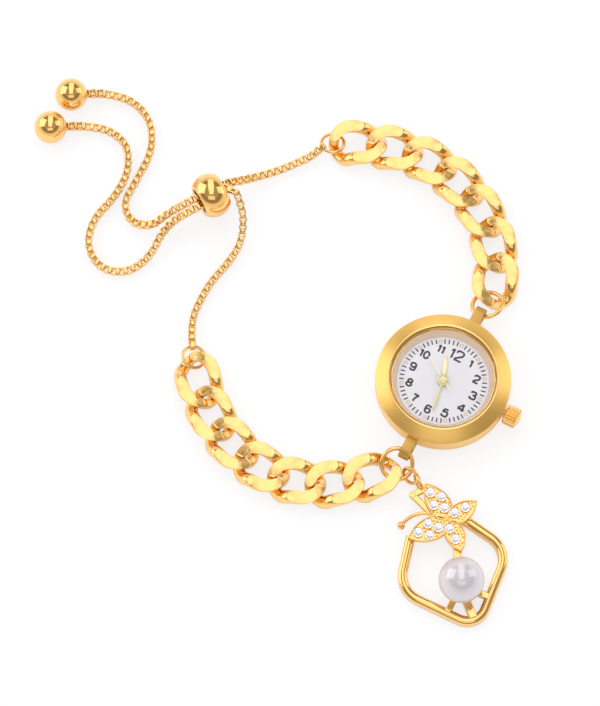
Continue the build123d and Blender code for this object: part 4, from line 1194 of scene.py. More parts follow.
@dataclass
class CurbLinks:
    """Seven links a side: wire bent round a twisted oval, buffed, and ground flat."""

    frame: dict
    count: int = 7
    wire_width: float = 2.35
    wire_height: float = 2.16
    squareness: float = 2.4
    half_length: float = 4.5
    half_width: float = 3.08
    outward: float = 0.22
    end_half_bar: float = 1.8
    end_twist: float = 55
    side_reach: float = 2.3
    side_rise: float = 1.25
    thickness: float = 3.2
    pitch: float = 6.85
    first_reach: float = 2.25
    mid_reach: float = 0.9
    mid_rise: float = 0.5
    end_slimming: float = 0.19
    edge_ease: float = 0.035
    crown_across: float = 11.0
    crown_along: float = 30.0
    flat_reach: float = 2.4
    # Slopes of the ground faces along and across the link, a pair for each mesh
    leans: tuple[Pair, ...] = ((0.02, 0.03), (-0.035, -0.02), (0.045, -0.045))
    path_steps: int = 30
    even_passes: int = 40
    wire_steps: int = 56

    def build(self) -> None:
        """Builds every link from three meshes and sets it by its hinge."""
        meshes = [self.link_mesh(*lean) for lean in self.leans]
        for side in Side:
            for number in range(1, self.count + 1):
                node = f"curb_link_{side.name.lower()}_{number}"
                hinge, axis = joint(self.frame, f"{node}_hinge")
                ahead = axis.cross(UP) * side.value
                left = UP.cross(ahead)
                reach = self.pitch / 2 if number > 1 else self.first_reach
                place = (hinge + ahead * reach - left * self.outward * side.value) * MM
                piece = new_object(f"{node}_ground", meshes[(number * 2 + side.value) % len(meshes)])
                piece.matrix_world = Matrix(((ahead.x, left.x, 0, place.x),
                                             (ahead.y, left.y, 0, place.y),
                                             (0, 0, 1, place.z), (0, 0, 0, 1)))
                fit(piece, node, "gold_plated_metal", node)

    def path(self) -> list[Vector]:
        """The wire's middle line: a closed curve that leans over at both ends.

        Returns:
            Points all the way round.
        """
        twist = math.radians(self.end_twist)
        end_side, end_rise = self.end_half_bar * math.cos(twist), self.end_half_bar * math.sin(twist)
        half = [Vector((self.half_length, end_side, -end_rise)),
                Vector((self.side_reach, self.half_width, -self.side_rise)),
                Vector((self.mid_reach, self.half_width, self.mid_rise)),
                Vector((-self.side_reach, self.half_width, self.side_rise)),
                Vector((-self.half_length, end_side, end_rise))]
        corners = half + [Vector((-corner.x, -corner.y, corner.z)) for corner in half]
        points = []
        for number, corner in enumerate(corners):
            start = corners[number - 1].lerp(corner, 0.5)
            end = corner.lerp(corners[(number + 1) % len(corners)], 0.5)
            points += bend(start, corner, end, self.path_steps)[:-1]
        # Real wire bends evenly, so the curve's turns are spread a little
        for _ in range(self.even_passes):
            points = [(points[n - 1] + points[n] * 2 + points[(n + 1) % len(points)]) / 4
                      for n in range(len(points))]
        return points

    def link_mesh(self, lean_along: float, lean_across: float) -> bpy.types.Mesh:
        """Sweeps the wire and grinds both sides nearly flat, a little crowned and a little askew.

        Args:
            lean_along: The slope of the ground faces along the link.
            lean_across: Their slope across it.

        Returns:
            The link's mesh, with the value 'ground' at 1 on its flats.
        """
        section = []
        for way in circle(1, self.wire_steps):
            across, up = (math.copysign(abs(part) ** (2 / self.squareness), part)
                          for part in (way.x, way.y))
            section.append(Vector((across * self.wire_width / 2, up * self.wire_height / 2, 0)))
        path = self.path()
        # The wire is drawn slimmer where it passes through the next link
        scales = [1 - self.end_slimming * min(max((abs(place.x) - self.side_reach)
                                                  / (self.half_length - self.side_reach), 0), 1)
                  for place in path]
        points, faces = swept(path, section, True, scales=scales)
        lowest = abs(lean_along) * self.flat_reach + abs(lean_across) * self.half_width / 2
        ground = []
        for point in points:
            way = math.copysign(1, point.z)
            limit = (self.thickness / 2 - lowest
                     - (abs(point.x) - self.flat_reach) ** 2 / 2 / self.crown_along
                     - (abs(point.y) - self.half_width) ** 2 / 2 / self.crown_across
                     + way * (lean_along * point.x + lean_across * point.y) / 2)
            over = (abs(point.z) - limit) / self.edge_ease
            ground.append(1 / (1 + math.exp(-max(min(over * 1.5, 30), -30))))
            rounding = self.edge_ease * math.log1p(math.exp(-over)) if over > -30 else (
                limit - abs(point.z))
            point.z = way * (limit - rounding)
        link = shape("curb_link", points, faces, LINK_GOLD, 80)
        mesh = link.data
        mesh.attributes.new("ground", "FLOAT", "POINT").data.foreach_set("value", ground)
        bpy.data.objects.remove(link)
        return mesh


@dataclass
class RoundRings:
    """Jump rings, end rings and the charm's ring: drawn wire bent round and closed."""

    frame: dict
    wires: tuple[tuple[str, float], ...] = (
        ("jump_ring_upper", 0.8), ("jump_ring_lower", 0.8), ("end_ring_upper", 0.6),
        ("end_ring_lower", 0.6), ("charm_ring", 0.65))

    def build(self) -> None:
        """Builds each ring where its CAD node lies."""
        for name, wire in self.wires:
            corners = np.array([tuple(v.co) for v in self.frame["nodes"][name].data.vertices]) / MM
            middle = (corners.min(0) + corners.max(0)) / 2
            for _ in range(3):
                shifted = corners - middle
                normal = Vector(np.linalg.svd(shifted, full_matrices=False)[2][2])
                first = normal.orthogonal().normalized()
                second = normal.cross(first)
                across, along = shifted @ np.array(first), shifted @ np.array(second)
                middle = middle + (np.array(first) * (across.max() + across.min()) / 2
                                   + np.array(second) * (along.max() + along.min()) / 2)
            radius = (across.max() - across.min() - wire) / 2
            path = [Vector(middle) + first * point.x + second * point.y
                    for point in circle(radius, 96)]
            ring = shape(f"{name}_wire", *swept(path, circle(wire / 2, 24), True, normal),
                         WIRE_GOLD)
            fit(ring, name, "gold_plated_metal", name)


@dataclass
class BoxChain:
    """The thin chain of folded strip rings, alternately flat and upright."""

    frame: dict
    wall: float = 0.31
    band: float = 1.06
    mouth_reach: float = 3.05
    corner: float = 0.2

    def build(self) -> None:
        """Builds detailed links where the CAD links lie."""
        section = self.section()
        for node, body in (("box_chain_upper", "box_chain_upper"),
                           ("box_chain_lower_tail", "box_chain_upper"),
                           ("box_chain_lower_span", "box_chain_lower")):
            chain = Heap()
            links = self.places(self.frame["nodes"][node])
            if body == "box_chain_lower":
                links += self.mouth_links(links)
            for middle, axes, sizes in links:
                x, y = ((size - self.wall) / 2 for size in sizes[:2])
                loop = rounded([(x, y), (-x, y), (-x, -y), (x, -y)], self.corner)
                path = [middle + axes[0] * point.x + axes[1] * point.y for point in loop]
                chain.add(*swept(path, section, True, axes[2]))
            fit(chain.piece(f"{node}_links", WIRE_GOLD, 40), body, "gold_plated_metal", node)

    def section(self) -> Outline:
        """The strip's section: a flat band with eased edges and a slightly crowned outside."""
        wall, band = self.wall / 2, self.band / 2
        return rounded([(wall * 0.75, -band), (wall, 0), (wall * 0.75, band), (-wall, band),
                        (-wall, -band)], 0.07, 2)

    def places(self, node: Piece) -> list[Link]:
        """Finds each link of a CAD chain.

        Args:
            node: The chain's object.

        Returns:
            The links.
        """
        built = bmesh.new()
        built.from_mesh(node.data)
        bmesh.ops.remove_doubles(built, verts=built.verts, dist=2e-6)
        seen, links = set(), []
        for start in built.verts:
            if start in seen:
                continue
            island, waiting = [], [start]
            seen.add(start)
            while waiting:
                corner = waiting.pop()
                island.append(tuple(corner.co / MM))
                for edge in corner.link_edges:
                    other = edge.other_vert(corner)
                    if other not in seen:
                        seen.add(other)
                        waiting.append(other)
            corners = np.array(island)
            middle = corners.mean(0)
            axes = np.linalg.svd(corners - middle, full_matrices=False)[2]
            spans = (corners - middle) @ axes.T
            sizes = spans.max(0) - spans.min(0)
            links.append((Vector(middle), [Vector(axis) for axis in axes], list(sizes)))
        built.free()
        return links

    def mouth_links(self, links: list[Link]) -> list[Link]:
        """Carries the lower span on to the bead's mouth, over the gap of the opened pivot.

        Args:
            links: The links of the span.

        Returns:
            The links to add.
        """
        low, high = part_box("slider_bead")
        bead = (low + high) / 2 / MM
        last, before = sorted(links, key=lambda link: (link[0] - bead).length)[:2]
        _, axis = joint(self.frame, "slider_travel")
        mouth = bead + axis * self.mouth_reach * (1 if (last[0] - bead).dot(axis) > 0 else -1)
        run = mouth - last[0]
        run.z = 0
        count = int(run.length / (last[0] - before[0]).length)
        ahead = run.normalized()
        side = UP.cross(ahead)
        upright = abs(last[1][2].z) > 0.5
        return [(last[0] + run * (number / count),
                 [ahead, UP, side] if upright == (number % 2 == 1) else [ahead, side, UP], last[2])
                for number in range(1, count + 1)]


@dataclass
class SliderAndBalls:
    """The slider bead that both chains run through, its rubber grip, and the two end balls."""

    frame: dict
    length: float = 5.0
    radius: float = 4.15
    end_radius: float = 3.1
    bore: float = 2.5
    ball_radius: float = 3.0
    ball_bore: float = 1.15
    ball_bore_depth: float = 1.6
    ball_lip: float = 0.06
    # Radians between the bore's edge and the first point of the ball
    lip_turn: float = 0.03
    chain_reach: float = 1.2

    def build(self) -> None:
        """Builds the bead and the balls."""
        self.bead()
        dress(self.frame["nodes"]["slider_grip"], BLACK_RUBBER)
        self.ball("end_ball_upper", "box_chain_upper")
        self.ball("end_ball_lower", "box_chain_lower_tail")

    def aim(self, piece: Piece, middle: Vector, axis: Vector) -> None:
        """Puts a turned piece's Z axis along an axis.

        Args:
            piece: The piece, turned about the origin.
            middle: Where its origin goes.
            axis: Where its Z axis points.
        """
        turn = UP.rotation_difference(axis.normalized()).to_matrix().to_4x4()
        piece.data.transform(Matrix.Translation(middle * MM) @ turn)

    def bead(self) -> None:
        """Turns the bead, a barrel with rounded rims and a plain bore."""
        half = self.length / 2
        rise = self.radius - self.end_radius
        swell = (half * half + rise * rise) / (2 * rise)
        outer = [(self.radius - swell + math.sqrt(swell ** 2 - along ** 2), along)
                 for along in (-half + self.length * step / 24 for step in range(25))]
        corners = outer + [(self.bore, half), (self.bore, -half)]
        low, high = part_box("slider_bead")
        _, axis = joint(self.frame, "slider_travel")
        bead = lathe("slider_bead_turned", rounded(corners, 0.3, 5), POLISHED_GOLD, 128, sharp=60)
        self.aim(bead, (low + high) / 2 / MM, axis)
        fit(bead, "slider", "gold_plated_metal", "slider_bead")

    def ball(self, name: str, chain: str) -> None:
        """Turns a hollow ball with a small lipped bore that takes the chain's last link.

        Args:
            name: The ball's CAD node.
            chain: The CAD node of the chain that ends in it.
        """
        low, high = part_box(name)
        middle = (low + high) / 2 / MM
        corners = [corner.co / MM for corner in self.frame["nodes"][chain].data.vertices]
        near = [corner for corner in corners
                if (corner - middle).length < self.ball_radius + self.chain_reach]
        axis = sum(near, Vector()) / len(near) - middle
        start = math.asin(self.ball_bore / self.ball_radius)
        floor = self.ball_radius - self.ball_bore_depth
        profile = [flat((0, floor)), flat((self.ball_bore, floor)),
                   flat((self.ball_bore, self.ball_radius * math.cos(start) - self.ball_lip)),
                   *arc((0, 0), (self.ball_radius, self.ball_radius),
                        90 - math.degrees(start + self.lip_turn), -90, 48)]
        ball = lathe(f"{name}_turned", profile, POLISHED_GOLD, 96, False, 60)
        self.aim(ball, middle, axis)
        fit(ball, "box_chain_upper", "gold_plated_metal", name)


# The charm


def leaf(length: float, width: float, belly: float, inset: float, steps: int = 22) -> Outline:
    """A pointed leaf from the origin along +X, drawn smaller by an inset.

    Args:
        length: From base to tip.
        width: Its greatest width.
        belly: The share of its length where it is widest.
        inset: How far inside the full leaf it lies.
        steps: Points along each of its four arcs.

    Returns:
        The outline, anticlockwise.
    """
    middle, half = length * belly, width / 2
    upper = []
    for reach, way in ((length - middle, 1), (middle, -1)):
        radius = (reach * reach + half * half) / (2 * half)
        inner = radius - inset
        turn = math.degrees(math.acos((radius - half) / inner))
        ends = (90 - turn, 90) if way > 0 else (90, 90 + turn)
        upper += arc((middle, half - radius), (inner, inner), *ends, steps)
    del upper[steps + 1]
    return upper + [Vector((point.x, -point.y, 0)) for point in reversed(upper[1:-1])]


def inside(point: Vector, outline: Outline) -> bool:
    """Tells whether a point is inside an outline.

    Args:
        point: The point.
        outline: The closed outline.

    Returns:
        True inside.
    """
    hits = False
    for number, corner in enumerate(outline):
        other = outline[number - 1]
        if (corner.y > point.y) != (other.y > point.y):
            cross = corner.x + (point.y - corner.y) / (other.y - corner.y) * (other.x - corner.x)
            hits ^= point.x < cross
    return hits


def outer_run(one: Outline, other: Outline) -> Outline:
    """The run of one outline that lies outside another, from their crossing on.

    Args:
        one: The outline whose run is wanted.
        other: The outline that covers the rest of it.

    Returns:
        The run, in the outline's own order.
    """
    outside = [not inside(point, other) for point in one]
    start = next(n for n in range(len(one)) if outside[n] and not outside[n - 1])
    run = []
    for number in (*range(start, len(one)), *range(start)):
        if not outside[number]:
            break
        run.append(one[number])
    first = run[0].to_2d()
    for step in range(len(other)):
        hit = intersect_line_line_2d(first, one[start - 1].to_2d(), other[step - 1].to_2d(),
                                     other[step].to_2d())
        if hit and (hit - first).length > 0.02:
            return [hit.to_3d()] + run
    return run


@dataclass
class Charm:
    """A butterfly set with stones on an open frame that carries a pearl.

    Its own frame: the eye's middle is the origin, and +X runs to the frame's bottom corner.
    """

    frame: dict
    heading: float = -41.6
    eye_radius: float = 1.5
    eye_wire: float = 0.8
    eye_height: float = 1.5
    depth: float = 1.9
    band: float = 1.75
    top_reach: float = 1.2
    side_reach: float = 17.1
    bottom_reach: float = 29.9
    half_width: float = 11.85
    corner_radii: tuple[float, float, float] = (5.8, 4.3, 5.8)
    cut_reach: float = 8.7
    bar_reach: float = 26.6
    bar_low: float = 0.5
    bar_top: float = 1.86
    bar_width: float = 1.5
    spoke_width: float = 1.2
    stem_root: Pair = (13.7, 1.95)
    seat_radius: float = 2.3
    wing_joint: Pair = (8.8, 2.5)
    wing_axis: float = -128
    # Each wing's length, width and turn away from the wings' axis
    fore: tuple[float, float, float] = (8.2, 4.4, 41)
    hind: tuple[float, float, float] = (6.1, 3.7, 126.5)
    belly: float = 0.4
    wing_thickness: float = 1.1
    rim: float = 0.3
    rim_height: float = 0.35
    rim_bevel: float = 0.09
    grain_pitch: float = 0.62
    # Rows of grains lie closer than grains in a row, as balls do when packed
    grain_row: float = 0.87
    grain_radius: float = 0.17
    grain_rise: float = 0.05
    grain_rows: int = 40
    strut_root: Pair = (1.9, -1.9)
    strut_end: float = 0.8
    feeler_bow: Pair = (4.55, -2.95)
    feeler_end: Pair = (6.4, -5.9)
    feeler_radius: float = 0.34
    knob_radius: float = 0.75
    pearl_reach: float = 20.4
    pearl_radius: float = 4.1
    pearl_flat: float = 0.45
    stone_radius: float = 0.86
    girdle_height: float = 0.33
    # Stones of each wing: the share of its length along it, and that off its middle
    fore_stones: tuple[Pair, ...] = ((0.745, 0.025), (0.545, -0.13), (0.47, 0.12), (0.293, -0.05))
    hind_stones: tuple[Pair, ...] = ((0.24, 0.1), (0.6, 0.04))
    place: Matrix = field(default_factory=Matrix)

    def build(self) -> None:
        """Builds the whole charm in its own frame, then moves it to its place."""
        eye, axis = joint(self.frame, "charm_hinge")
        middle = eye + axis.cross(UP) * self.eye_radius
        self.place = (Matrix.Translation(flat(middle) * MM)
                      @ Matrix.Rotation(math.radians(self.heading), 4, "Z"))
        self.open_frame()
        self.spokes()
        self.wings()
        self.bracket()
        self.stones()
        self.pearl()

    def settle(self, piece: Piece, slot: str, *nodes: str) -> None:
        """Moves a piece from the charm's own frame to its place on the charm's body.

        Args:
            piece: The piece.
            slot: The record's material slot.
            *nodes: The CAD nodes that it stands for.
        """
        piece.data.transform(self.place)
        fit(piece, "charm", slot, *nodes)

    def bar(self, name: str, path: list[Vector], section: Outline, sharp: float = 50.0) -> Piece:
        """Makes a cast bar with its section upright.

        Args:
            name: Its name.
            path: Its middle line.
            section: Its section.
            sharp: Edges that turn by more than this many degrees stay sharp.

        Returns:
            The bar.
        """
        return shape(name, *swept(path, section, False, UP), POLISHED_GOLD, sharp)

    def disc(self, name: str, profile: Outline, segments: int, middle: Vector,
             sharp: float = 50.0) -> Piece:
        """Turns a part of the charm about its own upright axis.

        Args:
            name: Its name.
            profile: Its radius and height at each point, from the axis out and back again.
            segments: Steps round the axis.
            middle: Where the profile's origin goes.
            sharp: Edges that turn by more than this many degrees stay sharp.

        Returns:
            The part.
        """
        made = lathe(name, profile, POLISHED_GOLD, segments, False, sharp)
        made.data.transform(Matrix.Translation(middle * MM))
        return made

    def open_frame(self) -> None:
        """Sweeps the rounded diamond, open at the top where the butterfly lies."""
        corners = [flat(corner) for corner in (
            (self.top_reach, 0), (self.side_reach, -self.half_width), (self.bottom_reach, 0),
            (self.side_reach, self.half_width), (self.top_reach, 0))]
        line = []
        for before, here, after, radius in zip(corners, corners[1:], corners[2:],
                                               self.corner_radii):
            back, ahead = (before - here).normalized(), (after - here).normalized()
            half_turn = back.angle(ahead) / 2
            bisector = (back + ahead).normalized()
            centre = here + bisector * (radius / math.sin(half_turn))
            arm = -bisector * (radius - self.band / 2)
            spread = math.pi / 2 - half_turn
            line += [centre + Matrix.Rotation(spread * (step / 12 - 1), 3, "Z") @ arm
                     for step in range(25)]
        first, last = (end.lerp(corners[0], (end.x - self.cut_reach) / (end.x - self.top_reach))
                       for end in (line[0], line[-1]))
        line = [first, *line, last]
        path = []
        for before, after in zip(line, line[1:]):
            steps = max(1, int((after - before).length / 0.5))
            path += [before.lerp(after, n / steps) for n in range(steps)]
        path.append(last)
        # A cast band: a flat foot, straight sides and a domed top
        half = self.band / 2
        top = arc((0, self.depth - half * 0.75), (half, half * 0.75), 0, 180, 14)
        section = rounded([*top, (-half, 0), (half, 0)], 0.1, 2)
        self.settle(self.bar("charm_frame_band", path, section), "gold_plated_metal",
                    "charm_frame")

    def spokes(self) -> None:
        """Makes the stem, the pearl's seat and the three spokes, with eased square edges."""
        low = self.bar_low
        normal = Vector((self.half_width, self.bottom_reach - self.side_reach, 0)).normalized()
        reach = normal.x * (self.bottom_reach - self.pearl_reach) - self.band * 0.6
        hub = flat((self.pearl_reach, 0))
        runs = [(flat(self.stem_root), hub, self.bar_width),
                (hub, flat((self.bar_reach, 0)), self.bar_width),
                (hub, hub + normal * reach, self.spoke_width),
                (hub, hub + Vector((normal.x, -normal.y, 0)) * reach, self.spoke_width)]
        parts = []
        for start, end, width in runs:
            half = width / 2
            section = rounded([(half, low), (half, self.bar_top), (-half, self.bar_top),
                               (-half, low)], 0.2)
            parts.append(self.bar("spoke", [start.lerp(end, n / 6) for n in range(7)], section))
        seat = rounded([(0, low), (self.seat_radius, low), (self.seat_radius, self.depth),
                        (0, self.depth)], 0.2, closed=False)
        parts.append(self.disc("seat", seat, 64, hub))
        self.settle(join("charm_spokes", parts), "gold_plated_metal")

    def half_outline(self, side: int, inset: float) -> Outline:
        """The outline of one half of the butterfly: a fore wing and a hind wing in one plate.

        Args:
            side: 1 or -1.
            inset: How far inside the full outline it lies.

        Returns:
            The outline.
        """
        leaves = []
        for length, width, angle in (self.fore, self.hind):
            turn = Matrix.Rotation(math.radians(self.wing_axis + side * angle), 3, "Z")
            leaves.append([flat(self.wing_joint) + turn @ point
                           for point in leaf(length, width, self.belly, inset)])
        loop = outer_run(leaves[0], leaves[1]) + outer_run(leaves[1], leaves[0])
        return [point for number, point in enumerate(loop) if (point - loop[number - 1]).length > 0.02]

    def wings(self) -> None:
        """Builds both halves: a plate with a raised rim round a beaded floor."""
        top = self.depth + self.wing_thickness
        floor = top - self.rim_height
        parts = []
        for side in (-1, 1):
            inner = self.half_outline(side, self.rim)
            parts += [self.plate(self.half_outline(side, 0), inner, floor, top),
                      self.grains(inner, side, floor)]
        self.settle(join("charm_wings", parts), "gold_plated_metal", "charm_butterfly")

    def plate(self, outline: Outline, inner: Outline, floor: float, top: float) -> Piece:
        """Builds one half's plate.

        Args:
            outline: Its outer outline.
            inner: The outline of its floor.
            floor: The height of the floor.
            top: The height of the rim.

        Returns:
            The plate.
        """
        built = bmesh.new()
        drawn = [draw_loop(built, [point + UP * height for point in loop])
                 for loop, height in ((outline, self.depth), (outline, top), (inner, top),
                                      (inner, floor))]
        loops, edges = [corners for corners, _ in drawn], [drawn_edges for _, drawn_edges in drawn]
        for one, other in (loops[:2], loops[2:]):
            for n in range(len(one)):
                built.faces.new((one[n - 1], one[n], other[n], other[n - 1]))
        for borders in (edges[1] + edges[2], edges[3], edges[0]):
            bmesh.ops.triangle_fill(built, edges=borders, use_beauty=True)
        bmesh.ops.recalc_face_normals(built, faces=built.faces)
        rims = set(edges[1]) | set(edges[2])
        bmesh.ops.bevel(built, geom=[edge for edge in built.edges if edge in rims],
                        offset=self.rim_bevel * MM, segments=2, affect="EDGES", profile=0.5)
        return finished("wing_plate", built, POLISHED_GOLD, 40)

    def grains(self, inner: Outline, side: int, floor: float) -> Piece:
        """Sets small grains of metal between the stones.

        Args:
            inner: The outline of the floor.
            side: 1 or -1.
            floor: The height of the floor.

        Returns:
            The grains.
        """
        pitch, radius, rows = self.grain_pitch, self.grain_radius, self.grain_rows
        stones = self.stone_places(side)
        built = bmesh.new()
        for row in range(-rows, rows):
            for column in range(-rows, rows):
                spot = flat(self.wing_joint) + Vector(
                    (pitch * (column + row % 2 / 2), pitch * self.grain_row * row, 0))
                clear = all((spot - stone).length > self.stone_radius + radius for stone in stones)
                edge = min((spot - corner).length for corner in inner)
                if clear and edge > radius and inside(spot, inner):
                    lift = (spot + UP * (floor + self.grain_rise)) * MM
                    bmesh.ops.create_icosphere(built, subdivisions=2, radius=radius * MM,
                                               matrix=Matrix.Translation(lift))
        return finished("grains", built, POLISHED_GOLD, 80)

    def stone_places(self, side: int) -> list[Vector]:
        """Finds the middles of one half's stones.

        Args:
            side: 1 or -1.

        Returns:
            Six places, level with the charm's back.
        """
        places = []
        for shares, (length, _, angle) in ((self.fore_stones, self.fore),
                                           (self.hind_stones, self.hind)):
            turn = math.radians(self.wing_axis + side * angle)
            ahead = Vector((math.cos(turn), math.sin(turn), 0))
            aside = Vector((ahead.y, -ahead.x, 0)) * side
            places += [flat(self.wing_joint) + ahead * along * length + aside * off * length
                       for along, off in shares]
        return places

    def bracket(self) -> None:
        """Makes the eye loop, the struts that hold it, and the feeler with its ball."""
        eye = [Vector((point.x, 0, self.eye_height + point.y))
               for point in circle(self.eye_radius, 64)]
        wire = circle(self.eye_wire / 2, 20)
        parts = [shape("eye", *swept(eye, wire, True, Vector((0, 1, 0))), POLISHED_GOLD)]
        turn = math.radians(self.wing_axis - self.fore[2])
        tip = flat(self.wing_joint) + Vector((math.cos(turn), math.sin(turn), 0)) * (
            self.fore[0] - self.strut_end)
        root = flat(self.strut_root)
        neck = flat((self.wing_joint[0] - self.wing_joint[1], 0))
        level = UP * self.depth
        # Both struts stop a little under the top of the boss that joins them
        section = rounded([(0.6, -0.45), (0.6, 0.4), (-0.6, 0.4), (-0.6, -0.45)], 0.2)
        for end in (tip, neck):
            path = [root.lerp(end, n / 8) + level for n in range(9)]
            parts.append(self.bar("strut", path, section))
        boss = rounded([(0, -0.45), (0.62, -0.45), (0.62, 0.42), (0, 0.42)], 0.16, closed=False)
        parts.append(self.disc("boss", boss, 40, root + level))
        end = flat(self.feeler_end) + level
        feeler = bend(neck + level, flat(self.feeler_bow) + level, end, 24)
        parts.append(self.bar("feeler", feeler, circle(self.feeler_radius, 14), 38))
        ball = arc((0, 0), (self.knob_radius, self.knob_radius), -90, 90, 24)
        parts.append(self.disc("knob", ball, 40, end, 38))
        self.settle(join("charm_bracket", parts), "gold_plated_metal")

    def stones(self) -> None:
        """Cuts the twelve round stones, the foil cups behind them and the collars round them."""
        radius = self.stone_radius
        half_step = Matrix.Rotation(math.pi / 8, 3, "Z")
        girdle = circle(radius, 16)
        # A stone: eight corners of the table, eight of the kites, sixteen of the girdle, the culet
        gem = ([point + UP * 0.3 for point in circle(radius * 0.55, 8)]
               + [half_step @ point + UP * 0.2 for point in circle(radius * 0.8, 8)]
               + girdle + [UP * -0.3])
        facets = [tuple(range(8))]
        # A cup: sixteen corners of its rim, eight of its floor and its middle
        cup = ([point * 1.03 - UP * 0.01 for point in girdle]
               + [half_step @ point - UP * 0.2 for point in circle(radius * 0.5, 8)]
               + [UP * -0.34])
        sides = []
        for n in range(8):
            kite, rim, after = 8 + n, 2 * n, (2 * n + 2) % 16
            facets += [(n, (n + 1) % 8, kite), (n, 8 + (n - 1) % 8, 16 + rim, kite),
                       (kite, 16 + rim, 17 + rim), (kite, 17 + rim, 16 + after)]
            corner, next_corner = 16 + n, 16 + (n + 1) % 8
            sides += [(rim, rim + 1, corner), (rim + 1, after, next_corner, corner),
                      (corner, next_corner, 24)]
        facets += [(16 + n, 16 + (n + 1) % 16, 32) for n in range(16)]
        collar = [point * share + UP * height
                  for share, height in ((1.13, -self.girdle_height), (1.13, 0.02), (1.06, 0.07),
                                        (0.98, 0.03))
                  for point in circle(radius, 24)]
        glass, foil, collars = Heap(), Heap(), Heap()
        level = UP * (self.depth + self.wing_thickness - self.rim_height + self.girdle_height)
        for spot in self.stone_places(-1) + self.stone_places(1):
            for heap, points, faces in ((glass, gem, facets), (foil, cup, sides),
                                        (collars, collar, grid(4, 24))):
                heap.add([spot + level + point for point in points], faces)
        self.settle(glass.piece("charm_stones_cut", STONE_GLASS, 1), "clear_stone", "charm_stones")
        self.settle(foil.piece("charm_stone_cups", STONE_FOIL, 1), "gold_plated_metal")
        self.settle(collars.piece("charm_stone_collars", POLISHED_GOLD, 50), "gold_plated_metal")

    def pearl(self) -> None:
        """Turns the pearl, flat where it is glued to its seat."""
        rise = self.pearl_radius - self.pearl_flat
        start = math.degrees(math.acos(rise / self.pearl_radius))
        profile = [flat((0, -rise)),
                   *arc((0, 0), (self.pearl_radius, self.pearl_radius), start - 90, 90, 64)]
        pearl = lathe("charm_pearl_round", profile, PEARL_COAT, 128, False, 50)
        middle = Vector((self.pearl_reach, 0, self.depth + rise))
        pearl.data.transform(Matrix.Translation(middle * MM))
        self.settle(pearl, "pearl", "charm_pearl")


# The studio


def seen_rays(tree: Tree) -> tuple[Node, Socket]:
    """Tells the rays that the camera sends, also through glass, from all others.

    Args:
        tree: The node tree.

    Returns:
        The light path node, and the socket that is 1 for such a ray.
    """
    ray = add_node(tree, "ShaderNodeLightPath")
    seen = add_node(tree, "ShaderNodeMath", {
        0: ray.outputs["Is Camera Ray"], 1: ray.outputs["Is Transmission Ray"]},
        operation="MAXIMUM")
    return ray, seen.outputs[0]


@dataclass(frozen=True)
class PaleTable(Finish):
    """A white table. Seen straight on or in a reflection, part of it glows, so it stays white."""

    glow: float = 0.74
    mirrored_glow: float = 0.2

    def shade(self, tree: Tree) -> Node:
        """Builds white that keeps a soft shadow."""
        white = add_node(tree, "ShaderNodeBsdfDiffuse", {
            "Color": linear(self.colour), "Roughness": self.roughness})
        glow = add_node(tree, "ShaderNodeEmission", {"Color": WHITE, "Strength": 1.0})
        ray, seen = seen_rays(tree)
        direct = add_node(tree, "ShaderNodeMath", {0: seen, 1: self.glow}, operation="MULTIPLY")
        mirrored = add_node(tree, "ShaderNodeMath", {
            0: ray.outputs["Is Glossy Ray"], 1: self.mirrored_glow}, operation="MULTIPLY")
        share = add_node(tree, "ShaderNodeMath", {0: direct.outputs[0], 1: mirrored.outputs[0]},
                         operation="MAXIMUM")
        return add_node(tree, "ShaderNodeMixShader", {
            0: share.outputs[0], 1: white.outputs[0], 2: glow.outputs[0]})


@dataclass(frozen=True)
class Lamp:
    """A soft box: where it stands seen from the watch, its size, and how bright its cloth looks."""

    name: str
    azimuth: float
    elevation: float
    distance: float
    width: float
    depth: float
    radiance: float


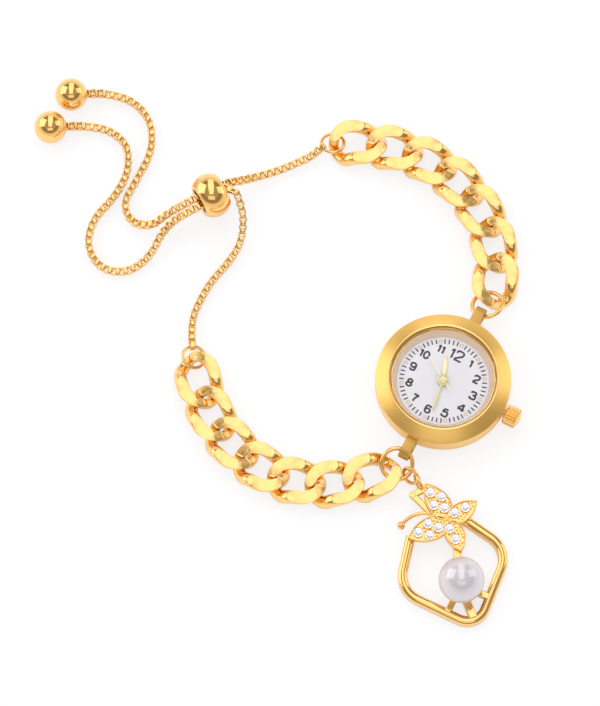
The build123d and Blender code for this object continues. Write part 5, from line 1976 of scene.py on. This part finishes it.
@dataclass
class Studio:
    """Camera, soft boxes, white surroundings and the table."""

    azimuth: float = 27.5
    elevation: float = 71.5
    distance: float = 0.7
    target: tuple[float, float, float] = (-0.02592, -0.00607, 0.0)
    lens: float = 196.3
    table_size: float = 4.0
    table_height: float = -0.43
    cloth: str = "#F8F7FF"
    lamps: tuple[Lamp, ...] = (
        Lamp("far_strip", 207.5, 63.5, 1.0, 0.52, 1.8, 1.15),
        Lamp("near_strip", 27.5, 55.5, 1.0, 0.7, 0.35, 0.7),
        Lamp("left_box", -84, 33, 0.9, 0.75, 0.7, 1.35),
        Lamp("right_box", 139, 33, 0.9, 0.5, 0.6, 1.05),
    )
    # What metal mirrors, from the ground at 0 to straight above at 1
    mirrored: tuple[tuple[float, str], ...] = (
        (0.0, "#F6F4F0"), (0.3, "#F0EDE6"), (0.46, "#9A9388"), (0.62, "#918A7F"),
        (0.85, "#B0ABA2"), (1.0, "#A6A29B"))
    soft_light: float = 0.78

    def build(self) -> None:
        """Builds the studio."""
        lens = bpy.data.cameras.new("product_camera")
        lens.lens = self.lens
        bpy.context.scene.camera = self.stand(lens, self.azimuth, self.elevation, self.distance)
        self.table()
        self.surroundings()
        for lamp in self.lamps:
            light = bpy.data.lights.new(lamp.name, "AREA")
            light.shape = "RECTANGLE"
            light.size, light.size_y = lamp.width, lamp.depth
            light.energy = lamp.radiance * math.pi * lamp.width * lamp.depth
            light.color = linear(self.cloth)[:3]
            self.stand(light, lamp.azimuth, lamp.elevation, lamp.distance)

    def stand(self, data: bpy.types.ID, azimuth: float, elevation: float, distance: float) -> Piece:
        """Stands a lamp or the camera where it looks at the watch.

        Args:
            data: The lamp or the camera.
            azimuth: Degrees from -Y towards +X.
            elevation: Degrees above the table.
            distance: Metres from the watch.

        Returns:
            Its object.
        """
        around, above = math.radians(azimuth), math.radians(elevation)
        way = Vector((math.sin(around) * math.cos(above), -math.cos(around) * math.cos(above),
                      math.sin(above)))
        made = new_object(data.name, data)
        made.location = Vector(self.target) + way * distance
        made.rotation_euler = (-way).to_track_quat("-Z", "Y").to_euler()
        return made

    def table(self) -> None:
        """Lays the table just under the watch."""
        half = self.table_size / 2 / MM
        corners = [Vector((x * half, y * half, self.table_height))
                   for x, y in ((-1, -1), (1, -1), (1, 1), (-1, 1))]
        shape("table_top", corners, [(0, 1, 2, 3)],
                       PaleTable("white_table", "#FAFAFA", 0.0))

    def surroundings(self) -> None:
        """Paints the surroundings: white when seen, and a studio's light and dark in metal."""
        world = bpy.data.worlds.new("studio")
        bpy.context.scene.world = world
        world.use_nodes = True
        tree = world.node_tree
        tree.nodes.clear()
        way = add_node(tree, "ShaderNodeTexCoord")
        split = add_node(tree, "ShaderNodeSeparateXYZ", {"Vector": way.outputs["Generated"]})
        ramp = add_node(tree, "ShaderNodeValToRGB", {"Fac": split.outputs["Z"]})
        ramp.color_ramp.interpolation = "EASE"
        stops = ramp.color_ramp.elements
        for place, colour in self.mirrored:
            stop = stops.new(place) if place not in (0.0, 1.0) else stops[int(place) * -1]
            stop.color = linear(colour)
        studio, white, soft = (
            add_node(tree, "ShaderNodeBackground", {"Color": colour, "Strength": strength})
            for colour, strength in ((ramp.outputs["Color"], 1.0), (WHITE, 1.0),
                                     (WHITE, self.soft_light)))
        ray, seen = seen_rays(tree)
        lit = add_node(tree, "ShaderNodeMixShader", {
            0: ray.outputs["Is Glossy Ray"], 1: soft.outputs[0], 2: studio.outputs[0]})
        both = add_node(tree, "ShaderNodeMixShader", {
            0: seen, 1: lit.outputs[0], 2: white.outputs[0]})
        add_node(tree, "ShaderNodeOutputWorld", {"Surface": both.outputs[0]})


def main() -> None:
    """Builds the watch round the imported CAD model."""
    for old in list(bpy.data.objects):
        bpy.data.objects.remove(old)
    bpy.context.scene.view_settings.view_transform = "Standard"
    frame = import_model()
    Studio().build()
    nodes = frame["nodes"]
    for part in (WatchHead(nodes), Dial(), Hands(), Movement(nodes), Crown(), CurbLinks(frame),
                 RoundRings(frame), BoxChain(frame), SliderAndBalls(frame), Charm(frame)):
        part.build()


if __name__ == "__main__":
    main()
